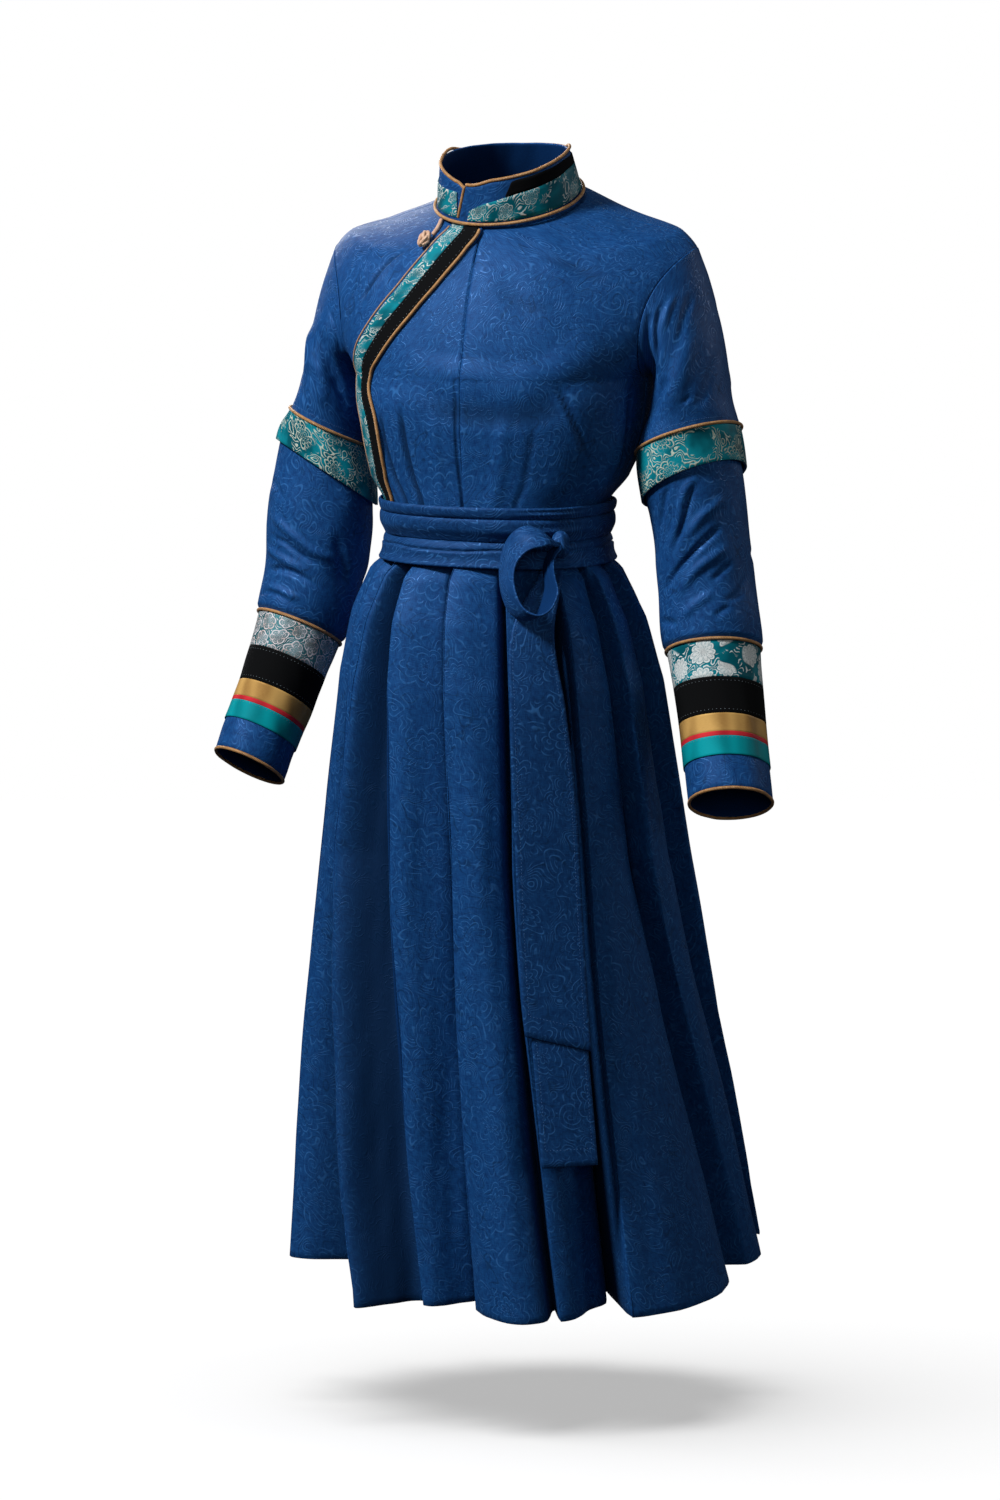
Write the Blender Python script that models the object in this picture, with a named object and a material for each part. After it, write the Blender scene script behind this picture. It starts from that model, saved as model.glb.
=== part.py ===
"""Mongolian deel: an empty robe, filled out as when worn, with stand collar, curved side closure,
double sleeves and sash.

Metres, +Z up. The front faces -Y and the wearer's left is +X. The origin is the centre of the neck
ring, where the robe hangs on its wearer. Angles round the body are 0 at the centre front and grow
towards the wearer's left. Every cloth piece is a wall between an outer and an inner grid of the same
rows and columns. The bodice, sleeves and skirt are surfaces worked out from the tables below, and
whatever lies on a panel is made from that panel's points.
"""

import math
from typing import NamedTuple

import bpy
import numpy as np

# ---- Cloth, seams and trims ----------------------------------------------------------------------
CLOTH = 0.0015  # wall of the robe's cloth
SASH_CLOTH = 0.0022  # the sash is folded double and pressed flat
COLLAR_CLOTH = 0.0018
RIBBON = 0.0010  # wall of the ribbons that are sewn on
SEAM = 0.0004  # gap between pieces at a seam, and between layers that lie on each other
PIPING = 0.0017  # radius of the heavy piping
FINE_PIPING = 0.0011  # radius of the piping at the closure's edge
STEP = 1e-4  # step of the numeric derivatives, in the surfaces' own parameters
SHARP_ANGLE = math.radians(50)  # edges sharper than this are shaded as edges

# ---- Neck and collar -----------------------------------------------------------------------------
NECK_RADIUS = 0.0750
NECK_TILT = math.radians(20)  # the neck ring leans forward and down
COLLAR_TOP_RADIUS = 0.0675
COLLAR_HEIGHT = 0.044
COLLAR_NOTCH = 0.006  # how far both ends of the top edge dip at the front
COLLAR_BACK_DROP = 0.0085  # how much lower the collar stands at the back
COLLAR_DROP_POWER = 3  # how late towards the back it drops
COLLAR_SIDE_RISE = 0.0035  # how much higher it stands at the sides
COLLAR_LEAN = math.radians(11)  # its outer end leans over to the wearer's left
LEAN_SPAN = math.radians(60)  # the lean fades out over this angle
COLLAR_FRONT_END = math.radians(-25)  # outer end, to the wearer's right of the centre
COLLAR_HIDDEN_END = math.radians(372)  # inner end, under the outer one
COLLAR_COLUMNS = 24
COLLAR_TUCK = math.radians(75)  # the inner end starts to move inwards this far from its end
COLLAR_TUCK_SPAN = math.radians(41.25)  # and has moved all the way after this angle
COLLAR_DIP_SPAN = math.radians(34)  # the front notch fades out over this angle
COLLAR_BACK_DIP_SPAN = math.radians(38)  # the same on the inner end's side
HIDDEN_DIP_START = math.radians(40)  # the hidden end's extra dip starts this far from its end
HIDDEN_DIP_SPAN = math.radians(12)
COLLAR_LAP_GAP = 0.0012  # between the two ends where they overlap
COLLAR_FOOT = 0.0005  # the collar's lower edge above the neck ring
BASE_PIPING_RISE = 0.0052
FRONT_PIPING_FOOT = BASE_PIPING_RISE + 2.2 * PIPING  # the front piping ends just above the base piping
FRONT_PIPING_POINTS = 4
TOP_PIPING_END = math.radians(345)
PIPING_OUT = (math.radians(107), math.radians(256))  # the top piping leaves the edge outwards
PIPING_DOWN = (math.radians(124), math.radians(239))  # and lies against the collar's outside
PIPING_TURN = math.radians(16)  # each of these moves takes this angle
RIBBON_ARC = (math.radians(-17), math.radians(333))  # the ribbons' stretch of the collar
RIBBON_FOOT = 0.0075  # their lower edge above the neck ring


class CollarRibbons(NamedTuple):
    """Upper edges of the collar's brocade and black ribbons at an angle."""

    degrees: float
    brocade_top: float
    black_top: float


COLLAR_RIBBONS = (
    CollarRibbons(-17, 0.0160, 0.0160),
    CollarRibbons(-8, 0.0215, 0.0215),
    CollarRibbons(0, 0.0245, 0.0245),
    CollarRibbons(18, 0.0285, 0.0285),
    CollarRibbons(26, 0.0300, 0.0425),
    CollarRibbons(31, 0.0310, 0.0438),
    CollarRibbons(52, 0.0330, 0.0450),
    CollarRibbons(88, 0.0350, 0.0450),
    CollarRibbons(120, 0.0320, 0.0395),
    CollarRibbons(140, 0.0300, 0.0350),
    CollarRibbons(180, 0.0260, 0.0303),
    CollarRibbons(225, 0.0280, 0.0358),
    CollarRibbons(250, 0.0290, 0.0390),
    CollarRibbons(285, 0.0310, 0.0310),
    CollarRibbons(333, 0.0315, 0.0315),
)


# ---- Bodice --------------------------------------------------------------------------------------
class BodiceLevel(NamedTuple):
    """A level section of the bodice between waist and underarm."""

    z: float
    half_width: float
    front: float
    back: float
    centre_y: float


BODICE_LEVELS = (
    BodiceLevel(-0.336, 0.112, 0.093, 0.085, -0.033),
    BodiceLevel(-0.303, 0.117, 0.099, 0.089, -0.030),
    BodiceLevel(-0.280, 0.1345, 0.107, 0.099, -0.023),
    BodiceLevel(-0.245, 0.1475, 0.117, 0.107, -0.017),
    BodiceLevel(-0.205, 0.1545, 0.124, 0.112, -0.013),
    BodiceLevel(-0.175, 0.156, 0.121, 0.113, -0.011),
)
SECTION_POWER = 2.3  # of the superellipse sections
SHOULDER_POWERS = (1.45, 2.30, 2.0)  # roundness from underarm to neck at front, side and back
FACING_POWER = 1.2  # how quickly the side's roundness turns into the front's or the back's
SHOULDER_WIDENING = 0.47  # how far the shoulder tip stands out past that blend, as a share
SHOULDER_BACK = 0.020  # how far the shoulder tip lies behind that blend
SHOULDER_DIP = 0.010  # hollow of the shoulder beside the collar
DIP_LEVEL = 1.60  # level where that hollow starts
DIP_POWER, TIP_POWER = 1.5, 3  # how closely hollow and shoulder tip keep to the sides
TIP_LEVEL = 1.50  # level of the shoulder tip: 0 is the waist, 1 the underarm and 2 the neck
ARMHOLE_FRONT = math.radians(27)  # half angle of the armhole in front of the side
ARMHOLE_BACK = math.radians(26)
ARMHOLE_STEPS = 7  # spans of the armhole in front, and as many behind
LOW_LEVELS = (0.0, 0.22, 0.45, 0.66, 0.84)  # the panels' rows below the underarm
SHOULDER_LEVELS = (1.68, 1.84, 2.0)  # their rows between shoulder tip and neck
LAST_NECK_LEVEL = 1.9  # of the row below the neck, away from the sides
WALK_STEPS = 4  # straight steps in a walk over the bodice
SIDE_SPANS = 5  # columns between the centre and a side seam


# ---- Closure -------------------------------------------------------------------------------------
class ClosurePoint(NamedTuple):
    """A place on the overlap's edge, on the wearer's right."""

    level: float
    degrees: float


CLOSURE_POINTS = (
    ClosurePoint(2.00, -30.5),
    ClosurePoint(1.88, -27.5),
    ClosurePoint(1.77, -27.5),
    ClosurePoint(1.64, -28.2),
    ClosurePoint(1.47, -33.0),
    ClosurePoint(1.31, -39.8),
    ClosurePoint(1.18, -46.8),
    ClosurePoint(1.07, -54.5),
    ClosurePoint(0.95, -61.5),
    ClosurePoint(0.85, -60.0),
    ClosurePoint(0.75, -57.0),
    ClosurePoint(0.62, -55.0),
    ClosurePoint(0.50, -56.0),
    ClosurePoint(0.38, -60.0),
    ClosurePoint(0.22, -67.0),
    ClosurePoint(0.00, -74.0),
)
# Distances from that edge: of the ribbons' edges, of the under front's end and of the first free column.
TRIM_EDGES = (0.0, 0.0020, 0.0195, 0.0385, 0.0430)
BROCADE_COLUMNS = slice(1, 3)
BLACK_COLUMNS = slice(2, 4)
UNDER_COLUMNS = slice(1, 4)
INNER_PIPING_COLUMN = 3
OVERLAP_SPANS = 4  # columns between the trims and the centre seam
OVERLAP_LIFT = CLOTH + SEAM  # of the overlap over the under front


# ---- Arms ----------------------------------------------------------------------------------------
class ArmStation(NamedTuple):
    """A ring of an arm: centre, half sizes to the side and front, slopes of its axis out and forward."""

    x: float
    y: float
    z: float
    side: float
    front: float
    out: float
    forward: float


LEFT_ARM = (
    ArmStation(0.1720, 0.012, -0.098, 0.0600, 0.0580, 1.30, 0.00),
    ArmStation(0.1930, 0.010, -0.150, 0.0400, 0.0600, 0.55, 0.02),
    ArmStation(0.1985, 0.007, -0.2000, 0.0400, 0.0615, 0.30, 0.10),
    ArmStation(0.1965, 0.004, -0.2405, 0.0535, 0.0600, 0.38, 0.20),
    ArmStation(0.2030, 0.002, -0.2820, 0.0560, 0.0590, 0.52, 0.28),
    ArmStation(0.2130, 0.001, -0.3450, 0.0500, 0.0530, 0.26, 0.22),
    ArmStation(0.2220, -0.003, -0.410, 0.0500, 0.0510, 0.20, 0.30),
    ArmStation(0.2340, -0.015, -0.468, 0.0460, 0.0465, 0.19, 0.42),
    ArmStation(0.2500, -0.037, -0.530, 0.0435, 0.0445, 0.20, 0.50),
    ArmStation(0.2690, -0.065, -0.600, 0.0430, 0.0440, 0.24, 0.58),
)
RIGHT_ARM = (
    ArmStation(0.1720, 0.012, -0.098, 0.0600, 0.0580, 1.30, 0.00),
    ArmStation(0.1920, 0.010, -0.150, 0.0385, 0.0600, 0.55, 0.02),
    ArmStation(0.1975, 0.007, -0.1990, 0.0385, 0.0615, 0.38, 0.08),
    ArmStation(0.2050, 0.004, -0.2405, 0.0450, 0.0600, 0.46, 0.20),
    ArmStation(0.2110, 0.002, -0.2850, 0.0645, 0.0590, 0.58, 0.36),
    ArmStation(0.2190, -0.001, -0.3500, 0.0605, 0.0570, 0.34, 0.28),
    ArmStation(0.2270, -0.007, -0.410, 0.0520, 0.0510, 0.27, 0.38),
    ArmStation(0.2395, -0.021, -0.468, 0.0440, 0.0455, 0.27, 0.50),
    ArmStation(0.2550, -0.043, -0.530, 0.0410, 0.0435, 0.27, 0.58),
    ArmStation(0.2710, -0.071, -0.596, 0.0400, 0.0420, 0.28, 0.62),
)
CAP_END = 2.0  # station where the sleeve cap has become a plain tube
BAND_START, BAND_END = 3.05, 4.05  # stations of the over sleeve's brocade band
UNDER_SLEEVE_START = 2.80  # the stitch line above the band
CUFF_START, CUFF_END = 6.80, 9.0
OVER_STATIONS = (0.0, 0.45, 0.95, 1.5, 2.2, BAND_START, BAND_END)
UNDER_STATIONS = (UNDER_SLEEVE_START, BAND_END, 4.8, 5.5, 6.15, CUFF_START)
SLEEVE_COLUMNS = 2 * ARMHOLE_STEPS
SLEEVE_EASE = 0.0040  # how far the under sleeve lies inside the over sleeve
EASE_END = BAND_END + 1.2  # station where that ease has faded out
CUFF_MEASURES = 60  # points along the arm's axis that the cuff's length is measured with
ARMHOLE_GAP = 0.0006  # sideways gap between bodice and sleeve


class CuffBand(NamedTuple):
    """A ribbon round the cuff, and its share of the cuff's length."""

    name: str
    share: float


CUFF_BANDS = (
    CuffBand("brocade", 0.250),
    CuffBand("black", 0.250),
    CuffBand("gold", 0.125),
    CuffBand("red", 0.030),
    CuffBand("teal", 0.130),
    CuffBand("plain", 0.215),
)


# ---- Skirt ---------------------------------------------------------------------------------------
class SkirtLevel(NamedTuple):
    """A level section of the skirt's envelope, over the fold edges."""

    z: float
    half_width: float
    half_depth: float
    centre_x: float
    centre_y: float


SKIRT_LEVELS = (
    SkirtLevel(-0.338, 0.1100, 0.0900, 0.000, -0.033),
    SkirtLevel(-0.358, 0.1150, 0.0945, 0.000, -0.033),
    SkirtLevel(-0.378, 0.1370, 0.1140, -0.001, -0.031),
    SkirtLevel(-0.424, 0.1590, 0.1370, -0.001, -0.027),
    SkirtLevel(-0.490, 0.1750, 0.1560, -0.001, -0.021),
    SkirtLevel(-0.620, 0.1940, 0.1780, -0.001, -0.013),
    SkirtLevel(-0.780, 0.2155, 0.2040, 0.001, -0.005),
    SkirtLevel(-0.960, 0.2425, 0.2360, 0.010, 0.002),
    SkirtLevel(-1.123, 0.2665, 0.2680, 0.022, 0.006),
)
SKIRT_ROWS = (0.0, 0.035, 0.085, 0.18, 0.36, 0.62, 1.0)
PLEAT_MIDDLE = 0.42  # share of the height at which a pleat's middle angle holds
PLEAT_START = 0.2  # part of its depth that a pleat has at the waist seam
PLEAT_OPENS = 0.06  # share of the height over which it reaches the rest
LATE_POWER = 1.5  # how late on the way down rolls and bulges come in
RECEDE_POWER = 1.3  # how late after a fold edge the cloth runs in towards the next one
EDGE_SLACK = 1e-8  # a column this close to a fold edge counts as on it


class Pleat(NamedTuple):
    """A knife pleat: its fold edge's angles, how deep the cloth before it runs in, how far the edge rolls
    in at the hem, and how far the cloth after it bulges out there. With roll and depth alike it is a soft
    valley."""

    waist: float
    middle: float
    hem: float
    depth_waist: float
    depth_hem: float
    roll: float
    bulge: float


PLEATS = (
    Pleat(-41, -45, -22, 0.008, 0.068, 0.004, 0.030),
    Pleat(-28, -20, -8, 0.004, 0.045, 0.044, 0.000),
    Pleat(-4, 3, 6.5, 0.006, 0.074, 0.050, 0.030),
    Pleat(22, 23, 29, 0.006, 0.020, 0.019, 0.000),
    Pleat(46, 47, 46, 0.008, 0.060, 0.012, 0.012),
    Pleat(69, 73, 99, 0.005, 0.032, 0.028, 0.015),
    Pleat(95, 101, 124, 0.007, 0.030, 0.008, 0.010),
    Pleat(122, 130, 148, 0.007, 0.045, 0.006, 0.012),
    Pleat(150, 156, 172, 0.006, 0.028, 0.024, 0.010),
    Pleat(176, 184, 203, 0.008, 0.048, 0.008, 0.014),
    Pleat(203, 209, 225, 0.006, 0.028, 0.020, 0.010),
    Pleat(229, 236, 252, 0.007, 0.040, 0.006, 0.012),
    Pleat(254, 262, 276, 0.006, 0.026, 0.016, 0.010),
    Pleat(282, 286, 297, 0.006, 0.026, 0.006, 0.002),
    Pleat(307, 304, 306, 0.003, 0.068, 0.066, 0.000),
)
PLEAT_SHARES = (0.0, 0.25, 0.60, 0.93)  # columns between two fold edges
SEAM_PLEATS = (0, 2, 4, 7, 9, 12)  # fold edges that hide a gore's seam
GORES = ("front_right", "front", "side_left", "back_left", "back_right", "side_right")


# ---- Sash ----------------------------------------------------------------------------------------
class SashTurn(NamedTuple):
    """A turn of the sash: the heights of its edges, and how far it stands out from the waist."""

    name: str
    top: float
    bottom: float
    out: float


SASH_TURNS = (
    SashTurn("top", -0.3030, -0.3150, 0.0056),
    SashTurn("middle", -0.3155, -0.3385, 0.0068),
    SashTurn("bottom", -0.3390, -0.3640, 0.0060),
)
SASH_SPANS = 28
KNOT_ANGLE = math.radians(47.5)
KNOT_LEVEL = -0.3395
KNOT_SIZE = (0.0090, 0.0095, 0.0140)  # half sizes: along the sash, outwards and up
KNOT_OUT = 0.0215  # centre of the knot beyond the waist


class LoopPoint(NamedTuple):
    """A point of the bow's loop, from the knot's middle."""

    along: float
    up: float


LOOP_PATH = (
    LoopPoint(-0.0125, 0.0060),
    LoopPoint(-0.0250, 0.0170),
    LoopPoint(-0.0410, 0.0205),
    LoopPoint(-0.0560, 0.0140),
    LoopPoint(-0.0680, -0.0010),
    LoopPoint(-0.0735, -0.0220),
    LoopPoint(-0.0720, -0.0450),
    LoopPoint(-0.0640, -0.0650),
    LoopPoint(-0.0500, -0.0730),
    LoopPoint(-0.0370, -0.0640),
    LoopPoint(-0.0280, -0.0450),
    LoopPoint(-0.0230, -0.0240),
    LoopPoint(-0.0150, -0.0090),
)
LOOP_REACH = (0.0130, 0.0440)  # the loop's back and front edges beyond the waist
LOOP_POINTS = 17


class TailLevel(NamedTuple):
    """A level of a hanging tail: where its middle is, and how wide the tail is."""

    z: float
    degrees: float
    width: float


FRONT_TAIL = (
    TailLevel(-0.366, 43.5, 0.024),
    TailLevel(-0.392, 36.5, 0.034),
    TailLevel(-0.430, 31.0, 0.043),
    TailLevel(-0.500, 31.5, 0.055),
    TailLevel(-0.580, 32.5, 0.063),
    TailLevel(-0.700, 33.0, 0.066),
    TailLevel(-0.838, 33.0, 0.067),
)
BACK_TAIL = (
    TailLevel(-0.374, 41.0, 0.022),
    TailLevel(-0.402, 35.5, 0.032),
    TailLevel(-0.440, 31.5, 0.040),
    TailLevel(-0.520, 32.0, 0.050),
    TailLevel(-0.700, 33.0, 0.055),
    TailLevel(-0.850, 33.5, 0.056),
    TailLevel(-0.962, 33.5, 0.057),
)
TAIL_ROWS = 12
FRONT_TAIL_OUT, BACK_TAIL_OUT = 0.0110, 0.0066  # beyond the skirt's envelope
FRONT_TAIL_SLANT = 0.018  # the front tail's end is cut aslant by this


# ---- Toggle --------------------------------------------------------------------------------------
TOGGLE_CORD = 0.0022  # radius
TOGGLE_ROUTE = (
    ClosurePoint(1.975, -43.0),
    ClosurePoint(1.920, -38.5),
    ClosurePoint(1.865, -35.5),
    ClosurePoint(1.820, -34.0),
)
TOGGLE_KNOT = ClosurePoint(1.735, -32.5)
TOGGLE_LIFT = 0.0028  # the knot lies over the closure's edge piping
TOGGLE_KNOT_SIZE = (0.0070, 0.0050, 0.0105)  # half sizes: across, outwards and down


# ---- Tables and vectors --------------------------------------------------------------------------
def smooth_rows(rows, stations):
    """The table's columns at fractional stations, on a smooth curve through every row."""
    table = np.array(rows, float)
    last = len(table) - 1
    stations = np.clip(np.asarray(stations, float), 0, last)
    slopes = np.gradient(table, axis=0)
    low = np.minimum(stations.astype(int), last - 1)
    t = (stations - low)[..., None]
    rise = table[low + 1] - table[low]
    start, end = slopes[low], slopes[low + 1]
    square, cube = 3 * rise - 2 * start - end, start + end - 2 * rise
    values = table[low] + t * start + t**2 * square + t**3 * cube
    return type(rows[0])(*np.moveaxis(values, -1, 0))


def smooth_at(rows, wanted):
    """The table's columns where its first column, which falls from row to row, has the wanted values."""
    keys = -np.array(rows, float)[:, 0]
    return smooth_rows(rows, np.interp(-np.asarray(wanted, float), keys, np.arange(len(rows))))


def signed_power(value, power):
    return np.sign(value) * np.abs(value) ** power


def ease(t):
    """0 up to 1 with flat ends."""
    t = np.clip(t, 0, 1)
    return t * t * (3 - 2 * t)


def unit(vectors):
    return vectors / np.linalg.norm(vectors, axis=-1, keepdims=True)


def dots(first, second):
    return np.sum(first * second, -1)


def normals_of(surface, u, v):
    """Unit normals of surface(u, v), along d/du x d/dv."""
    along_u = surface(u + STEP, v) - surface(u - STEP, v)
    along_v = surface(u, v + STEP) - surface(u, v - STEP)
    return unit(np.cross(along_u, along_v))


# ---- The surfaces that the pieces lie on ---------------------------------------------------------
def neck_point(angle, radius, height):
    """A point of the tilted neck, height above the neck ring along its axis."""
    x = radius * np.sin(angle)
    forward = radius * np.cos(angle) + height * math.tan(NECK_TILT)
    z = height - radius * np.cos(angle) * math.sin(NECK_TILT)
    return np.stack([x, -forward * math.cos(NECK_TILT), z + 0 * x], -1)


def body(angle, level):
    """The bodice: level 0 at the waist seam, 1 at the underarm, 2 at the neck."""
    angle, level = np.broadcast_arrays(np.asarray(angle, float), np.asarray(level, float))
    waist, underarm = BODICE_LEVELS[0].z, BODICE_LEVELS[-1].z
    z = waist + (underarm - waist) * np.clip(level, 0, 1)
    row = smooth_at(BODICE_LEVELS[::-1], z)
    facing = np.cos(angle)
    depth = np.where(facing > 0, row.front, row.back)
    x = row.half_width * signed_power(np.sin(angle), 2 / SECTION_POWER)
    y = row.centre_y - depth * signed_power(facing, 2 / SECTION_POWER)
    turn = np.clip(level - 1, 0, 1) * math.pi / 2
    front, side, back = SHOULDER_POWERS
    power = side + np.where(facing > 0, front - side, back - side) * np.abs(facing) ** FACING_POWER
    inward = 1 - np.cos(turn) ** (2 / power)
    upward = np.sin(turn) ** (2 / power)
    neck = neck_point(angle, NECK_RADIUS + SEAM, 0.0)
    x = x + (neck[..., 0] - x) * inward
    y = y + (neck[..., 1] - y) * inward
    z = z + (neck[..., 2] - z) * upward
    sideways = np.abs(np.sin(angle))
    hollow = np.sin(math.pi * np.clip((level - DIP_LEVEL) / (2 - DIP_LEVEL), 0, 1))
    tip = sideways**TIP_POWER * np.sin(2 * turn)
    x = x * (1 + SHOULDER_WIDENING * tip)
    return np.stack([x, y + SHOULDER_BACK * tip, z - SHOULDER_DIP * sideways**DIP_POWER * hollow], -1)


def body_walk(angle, level, across, distance):
    """Where a walk of `distance` over the bodice from (angle, level) in the direction `across` ends."""
    for _ in range(WALK_STEPS):
        along_a = (body(angle + STEP, level) - body(angle - STEP, level)) / (2 * STEP)
        along_l = (body(angle, level + STEP) - body(angle, level - STEP)) / (2 * STEP)
        move = across * distance / WALK_STEPS
        aa, al, ll = dots(along_a, along_a), dots(along_a, along_l), dots(along_l, along_l)
        ma, ml = dots(move, along_a), dots(move, along_l)
        scale = aa * ll - al * al
        angle = angle + (ll * ma - al * ml) / scale
        level = np.clip(level + (aa * ml - al * ma) / scale, 0, 2)
    return angle, level


def armhole(side, turn):
    """Angle and level of the armhole's seam: turn 0 at the shoulder tip, pi / 2 in front, pi below."""
    half = np.where(np.sin(turn) > 0, ARMHOLE_FRONT, ARMHOLE_BACK)
    angle = math.pi / 2 - half * np.sin(turn)
    middle, reach = (TIP_LEVEL + 1) / 2, (TIP_LEVEL - 1) / 2
    return side * angle, middle + reach * np.cos(turn)


def arm(side, turn, station):
    """The plain tube of an arm: turn 0 outside, 90 degrees in front, 180 inside."""
    turn, station = np.broadcast_arrays(np.asarray(turn, float), np.asarray(station, float))
    ring = smooth_rows(LEFT_ARM if side > 0 else RIGHT_ARM, station)
    axis = unit(np.stack([side * ring.out, -ring.forward, -np.ones_like(ring.out)], -1))
    sideways = np.array([side, 0.0, 0.0])
    outward = unit(sideways - axis * np.sum(sideways * axis, -1, keepdims=True))
    forward = np.cross(axis, outward) * side
    centre = np.stack([side * ring.x, ring.y, ring.z], -1)
    out, front = ring.side * np.cos(turn), ring.front * np.sin(turn)
    return centre + outward * out[..., None] + forward * front[..., None]


def sleeve(side, turn, station):
    """The over sleeve, whose first ring is the armhole's seam."""
    turn, station = np.broadcast_arrays(np.asarray(turn, float), np.asarray(station, float))
    fade = (1 - np.clip(station / CAP_END, 0, 1)) ** 2
    seam = body(*armhole(side, turn)) + np.array([side * ARMHOLE_GAP, 0, 0])
    return arm(side, turn, station) + fade[..., None] * (seam - arm(side, turn, 0 * station))


def seam_inward(side, turn):
    """Where the cloth's thickness goes at the armhole: the mitre between bodice and sleeve."""
    out_body = normals_of(body, *armhole(side, turn))
    out_sleeve = normals_of(lambda t, s: sleeve(side, t, s), turn, np.full_like(turn, 0.02)) * side
    return -unit(out_body + out_sleeve)


def pleat_edge(number, share):
    """Angle, depth, roll and bulge of a fold edge at a share of the skirt's height."""
    rounds, index = divmod(int(number), len(PLEATS))
    pleat = PLEATS[index]
    angle = np.interp(share, (0, PLEAT_MIDDLE, 1), pleat[:3]) + 360 * rounds
    depth = pleat.depth_waist + (pleat.depth_hem - pleat.depth_waist) * share
    opening = ease(share / PLEAT_OPENS + PLEAT_START)
    late = np.maximum(share, 0) ** LATE_POWER
    return np.stack([np.radians(angle), depth * opening, pleat.roll * late, pleat.bulge * late])


def skirt(column, share):
    """The skirt: column counts the fold edges, share is 0 at the waist and 1 at the hem."""
    column, share = np.broadcast_arrays(np.asarray(column, float), np.asarray(share, float))
    number = np.floor(column + EDGE_SLACK)
    before, after = np.zeros((2, 4, *share.shape))
    for k in np.unique(number):
        here = number == k
        before[:, here] = pleat_edge(k, share[here])
        after[:, here] = pleat_edge(k + 1, share[here])
    start, _, start_roll, bulge = before
    end, depth, end_roll, _ = after
    across = column - number
    last = PLEAT_SHARES[-1]
    along, back = ease(across / last) ** RECEDE_POWER, ease((across - last) / (1 - last))
    inward = start_roll + (depth - start_roll) * along + (end_roll - depth) * back
    inward = inward - bulge * np.sin(math.pi * np.clip(across / last, 0, 1))
    top, hem = SKIRT_LEVELS[0].z, SKIRT_LEVELS[-1].z
    return envelope(start + (end - start) * across, top + (hem - top) * share, -inward)


def envelope(angle, z, out):
    """A point of the skirt's smooth envelope, moved out from it."""
    row = smooth_at(SKIRT_LEVELS, z)
    x = row.centre_x + (row.half_width + out) * np.sin(angle)
    y = row.centre_y - (row.half_depth + out) * np.cos(angle)
    return np.stack([x, y, z + 0 * x], -1)


def waist(angle, z, out):
    """A point round the waist, moved out from the bodice above its seam and from the skirt below it."""
    upper, lower = smooth_at(BODICE_LEVELS[::-1], z), smooth_at(SKIRT_LEVELS, z)
    above = z > SKIRT_LEVELS[0].z
    facing = np.cos(angle)
    width = np.where(above, upper.half_width, lower.half_width) + out
    depth = np.where(above, np.where(facing > 0, upper.front, upper.back), lower.half_depth) + out
    x = width * signed_power(np.sin(angle), 2 / SECTION_POWER)
    y = BODICE_LEVELS[0].centre_y - depth * signed_power(facing, 2 / SECTION_POWER)
    return np.stack([x, y, z + 0 * x], -1)


# ---- Turning grids into solids -------------------------------------------------------------------
def solid(name, points, faces, finish):
    """A closed mesh object, turned right side out."""
    points = np.asarray(points, float)
    volume = 0.0
    for first, *others in faces:
        for second, third in zip(others, others[1:]):
            volume += np.dot(points[first], np.cross(points[second], points[third]))
    if volume < 0:
        faces = [[first, *others[::-1]] for first, *others in faces]
    mesh = bpy.data.meshes.new(name)
    mesh.from_pydata(points.tolist(), [], faces)
    mesh.shade_smooth()
    mesh.set_sharp_from_angle(angle=SHARP_ANGLE)
    mesh.materials.append(finish)
    made = bpy.data.objects.new(name, mesh)
    bpy.context.scene.collection.objects.link(made)
    return made


def wall(name, outer, inner, finish, ring=False):
    """A cloth wall between two grids of rows x columns points; a ring's last column joins its first."""
    rows, columns = outer.shape[:2]
    behind = rows * columns
    last_row, last_column = rows - 1, columns - 1
    spans = columns if ring else last_column

    def at(row, column):
        return row * columns + column % columns

    faces = []
    for row in range(last_row):
        for column in range(spans):
            a, b = at(row, column), at(row, column + 1)
            c, d = at(row + 1, column + 1), at(row + 1, column)
            # Both faces start on the same diagonal, so the wall keeps its thickness when they are split.
            faces.append([a, b, c, d])
            faces.append([behind + c, behind + b, behind + a, behind + d])
    for column in range(spans):
        a, b = at(0, column), at(0, column + 1)
        faces.append([a, behind + a, behind + b, b])
        a, b = at(last_row, column), at(last_row, column + 1)
        faces.append([a, b, behind + b, behind + a])
    if not ring:
        for row in range(last_row):
            a, b = at(row, 0), at(row + 1, 0)
            faces.append([a, b, behind + b, behind + a])
            a, b = at(row, last_column), at(row + 1, last_column)
            faces.append([b, a, behind + a, behind + b])
    return solid(name, np.concatenate([outer.reshape(-1, 3), inner.reshape(-1, 3)]), faces, finish)


def tube(name, path, radius, finish, across, sides=5, ring=False):
    """A piping: a tube along `path`, its section turned to the vectors `across`."""
    path = np.asarray(path, float)
    count = len(path)
    along = np.roll(path, -1, 0) - np.roll(path, 1, 0) if ring else np.gradient(path, axis=0)
    along = unit(along)
    across = unit(across - along * np.sum(across * along, -1, keepdims=True))
    third = np.cross(along, across)
    turns = (np.arange(sides) * 2 * math.pi / sides)[None, :, None]
    points = path[:, None] + radius * (np.cos(turns) * across[:, None] + np.sin(turns) * third[:, None])
    faces = []
    for k in range(count if ring else count - 1):
        after = (k + 1) % count
        for s in range(sides):
            t = (s + 1) % sides
            faces.append([k * sides + s, k * sides + t, after * sides + t, after * sides + s])
    if not ring:
        faces.append(list(range(sides))[::-1])
        faces.append([(count - 1) * sides + s for s in range(sides)])
    return solid(name, points.reshape(-1, 3), faces, finish)


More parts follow.
